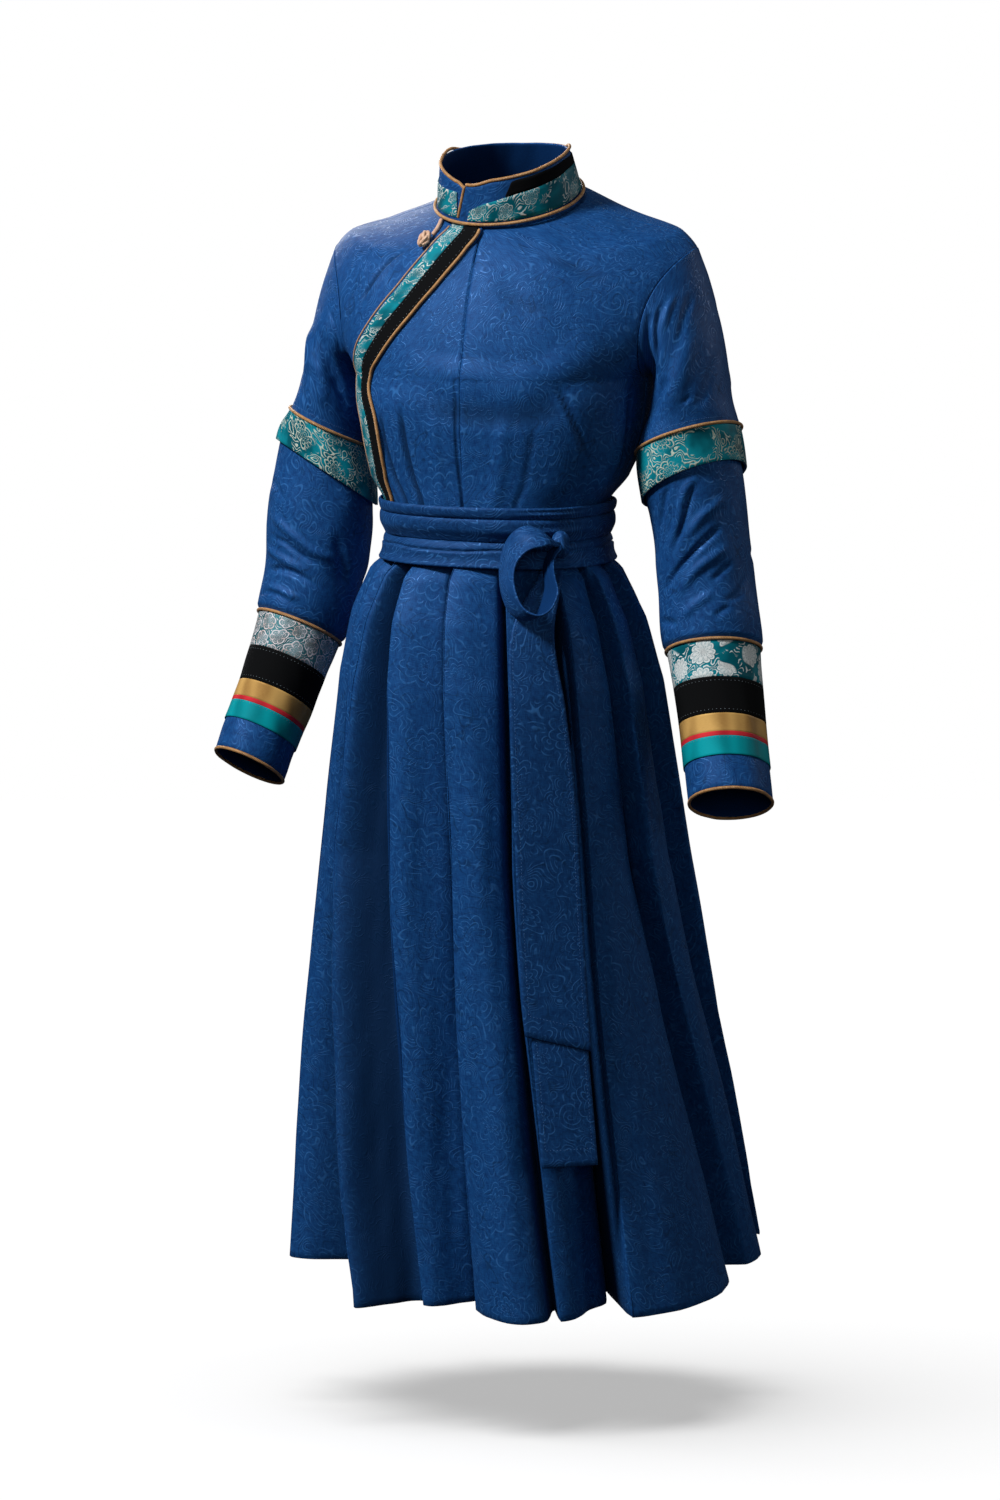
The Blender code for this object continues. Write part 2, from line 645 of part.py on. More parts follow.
def knot(name, centre, frame, half, finish, rings, spokes, swelling):
    """A rounded knot: an ellipsoid with three shallow lumps that wind round it."""
    points = [centre + frame[2] * half[2]]
    for ring in range(1, rings):
        tilt = math.pi * ring / rings
        for spoke in range(spokes):
            turn = 2 * math.pi * spoke / spokes
            swell = math.sin(tilt) * (1 + swelling * math.cos(3 * turn + 2 * tilt))
            side, out = half[0] * math.cos(turn) * swell, half[1] * math.sin(turn) * swell
            points.append(centre + frame[0] * side + frame[1] * out + frame[2] * half[2] * math.cos(tilt))
    points.append(centre - frame[2] * half[2])
    last = len(points) - 1
    faces = []
    for spoke in range(spokes):
        after = (spoke + 1) % spokes
        faces.append([0, 1 + spoke, 1 + after])
        for ring in range(rings - 2):
            low, high = 1 + ring * spokes, 1 + (ring + 1) * spokes
            faces.append([low + spoke, high + spoke, high + after, low + after])
        low = 1 + (rings - 2) * spokes
        faces.append([low + spoke, last, low + after])
    return solid(name, points, faces, finish)


def seam_shift(grid, rims=False):
    """Moves that draw a grid's side columns, and its first and last rows at rims, in by half a seam."""
    shift = np.zeros_like(grid)
    shift[:, 0] += unit(grid[:, 1] - grid[:, 0]) * SEAM / 2
    shift[:, -1] += unit(grid[:, -2] - grid[:, -1]) * SEAM / 2
    if rims:
        shift = np.zeros_like(grid)
        shift[0] += unit(grid[1] - grid[0]) * SEAM / 2
        shift[-1] += unit(grid[-2] - grid[-1]) * SEAM / 2
    return shift


# ---- Bodice --------------------------------------------------------------------------------------
FIRST_HOLE_ROW = len(LOW_LEVELS)
LAST_HOLE_ROW = FIRST_HOLE_ROW + ARMHOLE_STEPS
PANEL_ROWS = LAST_HOLE_ROW + 1 + len(SHOULDER_LEVELS)


def side_edge(side, turns):
    """Side seam, armhole and shoulder seam from the waist up, as angles and levels."""
    seam = side * math.pi / 2
    low = [(seam, level) for level in LOW_LEVELS]
    hole = list(zip(*armhole(side, turns)))
    high = [(seam, level) for level in SHOULDER_LEVELS]
    return np.array(low + hole + high, float)


def centre_edge(angle):
    """A vertical line of the panels, with a row for each row of the side edges."""
    high = np.linspace(1, LAST_NECK_LEVEL, PANEL_ROWS - FIRST_HOLE_ROW - 1)
    return np.array([(angle, level) for level in (*LOW_LEVELS, *high, 2.0)])


def closure_edge(distance):
    """The overlap's edge from the waist up, moved `distance` over the bodice towards the centre front."""
    level = centre_edge(0.0)[:, 1]
    angle = np.radians(smooth_at(CLOSURE_POINTS, level).degrees)
    along = unit(np.gradient(body(angle, level), axis=0))
    across = unit(np.cross(along, normals_of(body, angle, level)))
    return np.stack(body_walk(angle, level, across, distance), -1)


def between(left, right, spans):
    """Angles and levels from one edge to another, a column per share."""
    shares = np.linspace(0, 1, spans + 1)[None, :, None]
    return left[:, None] + (right - left)[:, None] * shares


def panel(name, grid, finish, lift=0.0, holes=()):
    """A bodice panel, lifted off the bodice. `holes` are each armhole's column, side and turns."""
    angle, level = np.moveaxis(grid, -1, 0)
    normal = normals_of(body, angle, level)
    lift = np.broadcast_to(lift, level.shape)[..., None]
    outer = body(angle, level) + normal * lift
    inner = outer - normal * CLOTH
    shift = seam_shift(outer)
    rows = slice(FIRST_HOLE_ROW, LAST_HOLE_ROW + 1)
    for column, side, turns in holes:
        inner[rows, column] = outer[rows, column] + CLOTH * seam_inward(side, turns)
        shift[FIRST_HOLE_ROW + 1 : LAST_HOLE_ROW, column] = 0
    return wall(name, outer + shift, inner + shift, finish)


def make_bodice(cloth):
    """Back, left front, overlapping right front and the under front."""
    in_front = np.linspace(math.pi, 0, ARMHOLE_STEPS + 1)
    behind = np.linspace(math.pi, 2 * math.pi, ARMHOLE_STEPS + 1)
    back_left, back_right = side_edge(1, behind), side_edge(-1, behind) + np.array([2 * math.pi, 0])
    middle = centre_edge(math.pi)
    halves = between(back_left, middle, SIDE_SPANS), between(middle, back_right, SIDE_SPANS)[:, 1:]
    panel("bodice_back", np.concatenate(halves, 1), cloth, holes=[(0, 1, behind), (-1, -1, behind)])
    grid = between(centre_edge(0.0), side_edge(1, in_front), SIDE_SPANS)
    panel("bodice_front_left", grid, cloth, holes=[(-1, 1, in_front)])
    grid, lift = overlap_grid()
    panel("bodice_front_overlap", grid, cloth, lift)
    side = between(side_edge(-1, in_front), grid[:, 0], SIDE_SPANS - 1)
    under = np.concatenate([side, grid[:, UNDER_COLUMNS]], 1)
    panel("bodice_front_under", under, cloth, holes=[(0, -1, in_front)])


def overlap_grid():
    """The overlap's angles, levels and lifts: columns along the trims, then a fan to the centre seam."""
    near = np.stack([closure_edge(distance) for distance in TRIM_EDGES], 1)
    fan = between(near[:, -1], centre_edge(0.0), OVERLAP_SPANS)[:, 1:]
    falling = 1 - np.arange(1, OVERLAP_SPANS + 1) / OVERLAP_SPANS
    lift = OVERLAP_LIFT * np.concatenate([np.ones(len(TRIM_EDGES)), falling])
    return np.concatenate([near, fan], 1), lift


def make_closure(finishes):
    """The ribbons and pipings along the curved closure, made from the overlap's own points."""
    grid, lift = overlap_grid()
    angle, level = np.moveaxis(grid, -1, 0)
    normal = normals_of(body, angle, level)
    top = body(angle, level) + normal * lift[:, None]
    low, high = top + normal * SEAM, top + normal * (SEAM + RIBBON)
    for name, columns in (("brocade", BROCADE_COLUMNS), ("black", BLACK_COLUMNS)):
        shift = seam_shift(high[:, columns])
        wall(f"closure_{name}", high[:, columns] + shift, low[:, columns] + shift, finishes[name])
    free = slice(1, PANEL_ROWS - 1)  # the pipings end short of the neck and the waist
    across = unit(top[:, 1] - top[:, 0])
    edge = top[:, 0] - across * (FINE_PIPING + SEAM) - normal[:, 0] * (CLOTH - FINE_PIPING)
    tube("closure_edge_piping", edge[free], FINE_PIPING, finishes["fine_piping"], normal[free, 0])
    k = INNER_PIPING_COLUMN
    across = unit(top[:, k + 1] - top[:, k])
    inner = top[:, k] + normal[:, k] * (SEAM + PIPING) + across * (PIPING + SEAM)
    tube("closure_inner_piping", inner[free], PIPING, finishes["piping"], normal[free, k])


# ---- Collar --------------------------------------------------------------------------------------
def collar_point(angle, height, out=0.0):
    """A point of the collar's outer face, moved out; the hidden end runs inside the outer one."""
    angle, height = np.broadcast_arrays(np.asarray(angle, float), np.asarray(height, float))
    lean = COLLAR_LEAN * height / COLLAR_HEIGHT * (1 - ease((angle - COLLAR_FRONT_END) / LEAN_SPAN))
    cone = NECK_RADIUS + (COLLAR_TOP_RADIUS - NECK_RADIUS) * height / COLLAR_HEIGHT
    tuck = ease((angle - (COLLAR_HIDDEN_END - COLLAR_TUCK)) / COLLAR_TUCK_SPAN)
    return neck_point(angle + lean, cone - tuck * (COLLAR_CLOTH + COLLAR_LAP_GAP) + out, height)


def collar_top(angle):
    """Height of the top edge: it dips towards both ends, and the hidden end lies lower still."""
    front = 1 - ease((angle - COLLAR_FRONT_END) / COLLAR_DIP_SPAN)
    back = ease((angle - (COLLAR_HIDDEN_END - COLLAR_TUCK)) / COLLAR_BACK_DIP_SPAN)
    hidden = ease((angle - (COLLAR_HIDDEN_END - HIDDEN_DIP_START)) / HIDDEN_DIP_SPAN)
    drop = COLLAR_BACK_DROP * ((1 - np.cos(angle)) / 2) ** COLLAR_DROP_POWER
    rise = COLLAR_SIDE_RISE * np.sin(angle) ** 2
    return COLLAR_HEIGHT + rise - drop - COLLAR_NOTCH * (front + back + hidden)


def make_collar(finishes):
    """The stand collar with its ribbons and pipings."""
    angles = np.linspace(COLLAR_FRONT_END, COLLAR_HIDDEN_END, COLLAR_COLUMNS + 1)
    top = collar_top(angles)
    heights = np.stack([np.full_like(top, COLLAR_FOOT), (top + COLLAR_FOOT) / 2, top])
    outer, inner = collar_point(angles, heights), collar_point(angles, heights, -COLLAR_CLOTH)
    wall("collar", outer, inner, finishes["cloth"])

    spots = angles[(angles > RIBBON_ARC[0]) & (angles < RIBBON_ARC[1])]
    edges = CollarRibbons(*np.array(COLLAR_RIBBONS).T)
    brocade = np.interp(np.degrees(spots), edges.degrees, edges.brocade_top)
    black = np.interp(np.degrees(spots), edges.degrees, edges.black_top)
    wide = black - brocade > RIBBON
    for name, at, rows in (
        ("brocade", spots, np.stack([np.full_like(spots, RIBBON_FOOT), brocade])),
        ("black", spots[wide], np.stack([brocade[wide] + SEAM, black[wide]])),
    ):
        outer, inner = collar_point(at, rows, SEAM + RIBBON), collar_point(at, rows, SEAM)
        wall(f"collar_{name}", outer, inner, finishes[name])

    base = np.linspace(0, 2 * math.pi, COLLAR_COLUMNS + 1)[:-1] + COLLAR_FRONT_END
    path = neck_point(base, NECK_RADIUS + PIPING + 2 * SEAM, BASE_PIPING_RISE)
    outward = path - neck_point(base, 0.0, BASE_PIPING_RISE)
    tube("collar_base_piping", path, PIPING, finishes["piping"], outward, ring=True)

    seen = angles[angles < TOP_PIPING_END]
    moved_out, moved_down = (
        ease((seen - start) / PIPING_TURN) * (1 - ease((seen - end) / PIPING_TURN))
        for start, end in (PIPING_OUT, PIPING_DOWN)
    )
    height = collar_top(seen) + (SEAM + PIPING) * (1 - 2 * moved_down)
    path = collar_point(seen, height, (SEAM + PIPING) * moved_out - COLLAR_CLOTH / 2 * (1 - moved_out))
    outward = path - neck_point(seen, 0.0, collar_top(seen))
    tube("collar_top_piping", path, PIPING, finishes["piping"], outward)

    end = COLLAR_FRONT_END - (PIPING + SEAM) / NECK_RADIUS
    drop = np.linspace(collar_top(COLLAR_FRONT_END) - SEAM, FRONT_PIPING_FOOT, FRONT_PIPING_POINTS)
    path = collar_point(end, drop, -SEAM)
    outward = path - neck_point(np.full_like(drop, end), 0.0, drop)
    tube("collar_front_piping", path, PIPING, finishes["piping"], outward)


# ---- Sleeves -------------------------------------------------------------------------------------
def sleeve_turns(side):
    """Turns of the sleeve's columns. They run opposite ways on the two arms, as the bodice's rows do."""
    return side * np.arange(SLEEVE_COLUMNS) * 2 * math.pi / SLEEVE_COLUMNS


def rings(surface, side, stations):
    """Points and outward normals of rings of an arm, rows x columns."""
    turns, stations = np.meshgrid(sleeve_turns(side), stations)
    normal = normals_of(lambda t, s: surface(side, t, s), turns, stations) * side
    return surface(side, turns, stations), normal


def cuff_stations(side):
    """Stations of the cuff's ribbon edges, at shares of its length along the middle of the arm."""
    spots = np.linspace(CUFF_START, CUFF_END, CUFF_MEASURES)
    ring = smooth_rows(LEFT_ARM if side > 0 else RIGHT_ARM, spots)
    steps = np.linalg.norm(np.diff(np.stack([ring.x, ring.y, ring.z], -1), axis=0), axis=1)
    length = np.concatenate([[0], np.cumsum(steps)])
    shares = np.concatenate([[0], np.cumsum([band.share for band in CUFF_BANDS])])
    return np.interp(shares * length[-1], length, spots)


def rim_piping(name, rim, inner_ring, normal, out, finish):
    """A piping just past the rim of a tube, on the side away from inner_ring."""
    path = rim + normal * out + unit(rim - inner_ring) * (PIPING + SEAM)
    tube(name, path, PIPING, finish, normal, ring=True)


def make_sleeve(side, word, finishes):
    """Over sleeve with its band, under sleeve, and the cuff's ribbons."""
    outer, normal = rings(sleeve, side, OVER_STATIONS)
    inner = outer - normal * CLOTH
    inner[0] = outer[0] + CLOTH * seam_inward(side, sleeve_turns(side))
    wall(f"sleeve_{word}_over", outer, inner, finishes["cloth"], ring=True)
    band, out = outer[-2:], normal[-2:]
    high, low = band + out * (SEAM + RIBBON), band + out * SEAM
    wall(f"sleeve_{word}_band", high, low, finishes["brocade"], ring=True)
    rim_piping(f"sleeve_{word}_band_piping", band[0], band[1], out[0], SEAM + PIPING, finishes["piping"])

    upper, upper_out = rings(arm, side, UNDER_STATIONS)
    cuff, cuff_out = rings(arm, side, cuff_stations(side))
    tucked = np.interp(UNDER_STATIONS, (BAND_END, EASE_END), (SLEEVE_EASE, 0.0))[:, None, None]
    outer = np.concatenate([upper - upper_out * tucked, cuff[1:]])
    inner = outer - np.concatenate([upper_out, cuff_out[1:]]) * CLOTH
    wall(f"sleeve_{word}_under", outer, inner, finishes["cloth"], ring=True)
    for k, band in enumerate(CUFF_BANDS[:-1]):
        edge, out = cuff[k : k + 2], cuff_out[k : k + 2]
        shift = seam_shift(edge, rims=True)
        low, high = edge + out * SEAM + shift, edge + out * (SEAM + RIBBON) + shift
        wall(f"cuff_{word}_{band.name}", high, low, finishes[band.name], ring=True)
    gold = finishes["piping"]
    rim_piping(f"cuff_{word}_piping", cuff[0], cuff[1], cuff_out[0], SEAM + PIPING, gold)
    rim_piping(f"cuff_{word}_end_piping", cuff[-1], cuff[-2], cuff_out[-1], -CLOTH / 2, gold)


# ---- Skirt ---------------------------------------------------------------------------------------
def make_skirt(cloth):
    """Six pleated gores, whose seams lie at fold edges."""
    for word, start, end in zip(GORES, SEAM_PLEATS, (*SEAM_PLEATS[1:], len(PLEATS))):
        columns = [pleat + share for pleat in range(start, end) for share in PLEAT_SHARES] + [end]
        columns, shares = np.meshgrid(columns, SKIRT_ROWS)
        outer = skirt(columns, shares)
        outer += seam_shift(outer)
        # The columns run to the wearer's left and the rows down, so the normals are turned round.
        wall(f"skirt_{word}", outer, outer + normals_of(skirt, columns, shares) * CLOTH, cloth)


# ---- Sash ----------------------------------------------------------------------------------------
def make_turns(cloth):
    """The turns of the sash round the waist."""
    angles = np.arange(SASH_SPANS) * 2 * math.pi / SASH_SPANS
    for turn in SASH_TURNS:
        around, z = np.meshgrid(angles, (turn.top, turn.bottom))
        outer, inner = waist(around, z, turn.out + SASH_CLOTH), waist(around, z, turn.out)
        wall(f"sash_{turn.name}", outer, inner, cloth, ring=True)


def make_tail(name, levels, out, slant, cloth):
    """A flat tail that hangs in front of the skirt."""
    row = smooth_rows(levels, np.linspace(0, len(levels) - 1, TAIL_ROWS))
    middle = envelope(np.radians(row.degrees), row.z, out)
    outward = unit((envelope(np.radians(row.degrees), row.z, out + 1) - middle) * np.array([1, 1, 0]))
    sideways = np.cross((0, 0, 1), outward)
    shares = np.array([-0.5, 0.0, 0.5])
    grid = middle[:, None] + sideways[:, None] * (row.width[:, None] * shares)[..., None]
    grid[..., 2] -= slant * ease(np.linspace(-1, 1, TAIL_ROWS))[:, None] * shares
    wall(name, grid, grid - outward[:, None] * SASH_CLOTH, cloth)


def make_bow(cloth):
    """The half bow that ties the sash: knot, loop and two tails."""
    centre = waist(KNOT_ANGLE, KNOT_LEVEL, KNOT_OUT)
    outward = unit(centre - waist(KNOT_ANGLE, KNOT_LEVEL, 0.0))
    up = np.array([0.0, 0.0, 1.0])
    frame = (np.cross(up, outward), outward, up)
    knot("sash_knot", centre, frame, KNOT_SIZE, cloth, rings=7, spokes=12, swelling=0.06)

    path = smooth_rows(LOOP_PATH, np.linspace(0, len(LOOP_PATH) - 1, LOOP_POINTS))
    angle = KNOT_ANGLE + path.along / SKIRT_LEVELS[2].half_width
    back, front = (waist(angle, KNOT_LEVEL + path.up, reach) for reach in LOOP_REACH)
    grid = np.stack([back, (back + front) / 2, front])
    inward = np.cross(unit(np.gradient(grid, axis=1)), unit(front - back))
    wall("sash_loop", grid, grid + inward * SASH_CLOTH, cloth)
    make_tail("sash_tail_front", FRONT_TAIL, FRONT_TAIL_OUT, FRONT_TAIL_SLANT, cloth)
    make_tail("sash_tail_back", BACK_TAIL, BACK_TAIL_OUT, 0.0, cloth)


# ---- Toggle --------------------------------------------------------------------------------------
def make_toggle(finish):
    """The braided button knot and its cord, beside the top of the closure."""
    route = ClosurePoint(*np.array(TOGGLE_ROUTE).T)
    spots = np.radians(route.degrees), route.level
    out = normals_of(body, *spots)
    path = body(*spots) + out * (TOGGLE_CORD + SEAM)
    tube("toggle_cord", path, TOGGLE_CORD, finish, out, sides=6)
    spot = np.radians(TOGGLE_KNOT.degrees), TOGGLE_KNOT.level
    out = normals_of(body, *spot)
    down = unit(path[-1] - path[0])
    down = unit(down - out * np.dot(down, out))
    centre = body(*spot) + out * (TOGGLE_KNOT_SIZE[1] + TOGGLE_LIFT)
    frame = (np.cross(out, down), out, -down)
    knot("toggle_knot", centre, frame, TOGGLE_KNOT_SIZE, finish, rings=6, spokes=10, swelling=0.05)


# ---- Finishes and the whole robe -----------------------------------------------------------------
class Finish(NamedTuple):
    """Colour and shine of a material."""

    name: str
    colour: tuple
    roughness: float


FINISHES = {
    "cloth": Finish("blue_jacquard", (0.022, 0.075, 0.22), 0.5),
    "sash": Finish("sash_jacquard", (0.022, 0.075, 0.23), 0.5),
    "brocade": Finish("teal_brocade", (0.02, 0.16, 0.18), 0.45),
    "black": Finish("black_velvet", (0.006, 0.007, 0.009), 0.9),
    "gold": Finish("gold_satin", (0.55, 0.32, 0.10), 0.35),
    "red": Finish("red_satin", (0.55, 0.05, 0.07), 0.4),
    "teal": Finish("teal_satin", (0.01, 0.13, 0.15), 0.4),
    "piping": Finish("gold_piping", (0.52, 0.24, 0.08), 0.5),
    "fine_piping": Finish("pink_piping", (0.42, 0.24, 0.20), 0.6),
}


def material(finish):
    """A Blender material with the finish's colour and roughness."""
    made = bpy.data.materials.new(finish.name)
    made.use_nodes = True
    shader = made.node_tree.nodes["Principled BSDF"]
    shader.inputs["Base Color"].default_value = (*finish.colour, 1)
    shader.inputs["Roughness"].default_value = finish.roughness
    shader.inputs["Metallic"].default_value = 0.0
    return made


def main():
    for old in list(bpy.data.objects):
        bpy.data.objects.remove(old, do_unlink=True)
    finishes = {key: material(finish) for key, finish in FINISHES.items()}
    make_bodice(finishes["cloth"])
    make_closure(finishes)
    make_collar(finishes)
    for side, word in ((1, "left"), (-1, "right")):
        make_sleeve(side, word, finishes)
    make_skirt(finishes["cloth"])
    make_turns(finishes["sash"])
    make_bow(finishes["sash"])
    make_toggle(finishes["fine_piping"])


if __name__ == "__main__":
    main()
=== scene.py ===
"""Mongolian deel: the finished cloth, trims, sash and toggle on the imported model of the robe.

Metres, +Z up. The front faces -Y, the wearer's left is +X, and the origin is the centre of the neck ring.
Angles round the body are 0 at the centre front and grow towards the wearer's left. The forms below are the
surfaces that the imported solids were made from. Every piece of cloth is a thin closed shell on one of them,
with its creases as soft troughs and ridges, and a UV map, "cloth", in metres along its weft and warp.
"""

from __future__ import annotations

import logging
import math
import sys
from dataclasses import dataclass, field
from enum import Enum
from typing import Any, Callable, NamedTuple, Sequence

import bpy
import numpy as np
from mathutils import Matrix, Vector

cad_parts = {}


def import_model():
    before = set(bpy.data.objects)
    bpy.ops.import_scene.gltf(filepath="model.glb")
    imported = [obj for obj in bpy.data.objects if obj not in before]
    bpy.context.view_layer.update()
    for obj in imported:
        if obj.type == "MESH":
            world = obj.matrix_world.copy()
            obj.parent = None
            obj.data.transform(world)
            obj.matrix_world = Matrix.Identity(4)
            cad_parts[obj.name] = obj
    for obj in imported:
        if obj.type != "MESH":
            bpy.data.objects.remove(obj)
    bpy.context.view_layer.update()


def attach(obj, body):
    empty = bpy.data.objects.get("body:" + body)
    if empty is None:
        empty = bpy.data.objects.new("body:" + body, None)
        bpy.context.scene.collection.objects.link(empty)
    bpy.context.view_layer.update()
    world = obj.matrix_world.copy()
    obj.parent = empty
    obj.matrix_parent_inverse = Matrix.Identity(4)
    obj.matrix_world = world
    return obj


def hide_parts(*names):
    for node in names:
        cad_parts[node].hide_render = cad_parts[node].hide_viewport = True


Array = np.ndarray
Surface = Callable[[Array, Array], Array]
LOG = logging.getLogger("deel")
MM = 0.001
STEP = 1e-4  # step of the numeric derivatives, in the surfaces' own parameters
ROOT = "root"
UV_NAME = "cloth"
# name of the point attribute that carries the shade painted into the cloth's folds
PAINTED_SHADE_ATTRIBUTE = "folded"
FINE = "fine_"  # starts the names of the pieces that stand for solids
SEAM = 0.0004  # gap between pieces at a seam, and between layers that lie on each other
CLOTH = 0.0013  # the robe's cloth
SASH_CLOTH = 0.0022  # the sash is folded double and pressed flat
COLLAR_CLOTH = 0.0018
RIBBON = 0.0009  # ribbons that are sewn on
PIPING = 0.0017  # radius of the heavy piping
FINE_PIPING = 0.0011  # radius of the piping at the closure's edge
CORD_SIDES = 12  # corners of a cord's section
SOFT = {"interpolation_type": "SMOOTHSTEP"}  # settings of nodes that map a range with soft ends
COLOURS = {"data_type": "RGBA"}  # and of nodes that mix two colours, their inputs 6 and 7


# ---- Tables and vectors ----
def rows_of(kind: Callable[..., Any], *rows: Sequence[Any]) -> tuple[Any, ...]:
    """A table whose columns have the kind's names."""
    return tuple(kind(*row) for row in rows)


def smooth_rows(rows: Sequence[Any], stations: Any) -> Any:
    """Reads a table at fractional stations, on a smooth curve through every row.

    Args:
        rows: Rows of one NamedTuple type, with numbers only.
        stations: Row numbers, whole or not.

    Returns:
        A tuple of the rows' type whose fields are arrays.
    """
    table = np.array(rows, float)
    last = len(table) - 1
    stations = np.clip(np.asarray(stations, float), 0, last)
    slopes = np.gradient(table, axis=0)
    low = np.minimum(stations.astype(int), last - 1)
    t = (stations - low)[..., None]
    rise = table[low + 1] - table[low]
    start, end = slopes[low], slopes[low + 1]
    square, cube = 3 * rise - 2 * start - end, start + end - 2 * rise
    values = table[low] + t * start + t**2 * square + t**3 * cube
    return type(rows[0])(*np.moveaxis(values, -1, 0))


def smooth_at(rows: Sequence[Any], wanted: Any) -> Any:
    """Reads a table where its first column, which falls from row to row, has the wanted values.

    Args:
        rows: Rows of one NamedTuple type.
        wanted: Values of the first column.

    Returns:
        A tuple of the rows' type whose fields are arrays.
    """
    keys = -np.array(rows, float)[:, 0]
    return smooth_rows(rows, np.interp(-np.asarray(wanted, float), keys, np.arange(len(rows))))


def signed_power(value: Array, power: float) -> Array:
    """The power of the value's size, with the value's sign."""
    return np.sign(value) * np.abs(value) ** power


def ease(t: Any) -> Any:
    """0 up to 1 with flat ends."""
    t = np.clip(t, 0, 1)
    return t * t * (3 - 2 * t)


def bump(x: Any) -> Any:
    """A soft hump: 1 at 0, and 0 from 1 outwards."""
    return np.clip(1 - np.asarray(x) ** 2, 0, None) ** 2


def unit(vectors: Array) -> Array:
    """The vectors at length 1."""
    return vectors / np.maximum(np.linalg.norm(vectors, axis=-1, keepdims=True), 1e-12)


def dots(first: Array, second: Array) -> Array:
    """Dot products along the last axis."""
    return np.sum(first * second, -1)


def lengths_along(points: Array, axis: int = 0) -> Array:
    """Lengths from the first point, along an axis of the points."""
    steps = np.linalg.norm(np.diff(points, axis=axis), axis=-1)
    return np.insert(np.cumsum(steps, axis), 0, 0, axis)


def paired(first: Any, second: Any) -> tuple[Array, Array]:
    """Two values as arrays of numbers of one shape."""
    return tuple(np.broadcast_arrays(np.asarray(first, float), np.asarray(second, float)))


def round_turns(count: int) -> Array:
    """Angles all round, evenly spaced."""
    return np.arange(count) * 2 * math.pi / count


def normals_of(surface: Surface, u: Array, v: Array) -> Array:
    """Unit normals of a surface.

    Args:
        surface: Gives points from two arrays.
        u: Its first parameter.
        v: Its second.

    Returns:
        Unit vectors along d/du x d/dv.
    """
    along_u = surface(u + STEP, v) - surface(u - STEP, v)
    along_v = surface(u, v + STEP) - surface(u, v - STEP)
    return unit(np.cross(along_u, along_v))


def dense_shares(count: int, fine: float) -> Array:
    """Shares from 0 to 1 that lie closer together near both ends.

    Args:
        count: Spans between the shares.
        fine: 0 for even spans, up to 1 for a spacing by the cosine.

    Returns:
        count + 1 rising numbers.
    """
    even = np.linspace(0, 1, count + 1)
    return (1 - fine) * even + fine * (1 - np.cos(math.pi * even)) / 2


def ripple(first: Array, second: Array, seed: float) -> Array:
    """Slow waves of three lengths and directions.

    Args:
        first: A length, in wavelengths.
        second: Another, across it.
        seed: Moves the waves.

    Returns:
        Heights of about -1 to 1.
    """
    total = np.sin(2 * math.pi * (first + 0.37 * second) + seed)
    total = total + 0.7 * np.sin(2 * math.pi * (1.63 * first - 0.61 * second) + 2.3 * seed)
    return (total + 0.5 * np.sin(2 * math.pi * (2.57 * first + 1.19 * second) + 3.7 * seed)) / 1.6


# ---- Forms: the surfaces that the cloth lies on ----
class BodiceLevel(NamedTuple):
    """A level section of the bodice between waist and underarm."""

    z: float
    half_width: float
    front: float
    back: float
    centre_y: float


class ArmStation(NamedTuple):
    """A ring of an arm: centre, half sizes to the side and front, slopes of its axis out and forward."""

    x: float
    y: float
    z: float
    side: float
    front: float
    out: float
    forward: float


class SkirtLevel(NamedTuple):
    """A level section of the skirt's envelope, over the fold edges."""

    z: float
    half_width: float
    half_depth: float
    centre_x: float
    centre_y: float


class Pleat(NamedTuple):
    """A knife pleat: its fold edge's angles, how deep the cloth before it runs in, how far the edge rolls
    in at the hem, how far the cloth after it bulges out there, and how deep the cloth before it is tucked
    and between which shares of its width. With roll and depth alike it is a soft valley."""

    waist: float
    middle: float
    hem: float
    depth_waist: float
    depth_hem: float
    roll: float
    bulge: float
    tuck: float
    tuck_from: float
    tuck_to: float


@dataclass(frozen=True)
class Neck:
    """The tilted ring that the collar stands on."""

    radius: float = 0.0750
    tilt: float = math.radians(20)

    def point(self, angle: Any, radius: Any, height: Any) -> Array:
        """A point of the neck.

        Args:
            angle: Round the body.
            radius: From the neck's axis.
            height: Above the ring, along the axis.

        Returns:
            Points.
        """
        x = radius * np.sin(angle)
        forward = radius * np.cos(angle) + height * math.tan(self.tilt)
        z = height - radius * np.cos(angle) * math.sin(self.tilt)
        return np.stack([x, -forward * math.cos(self.tilt), z + 0 * x], -1)


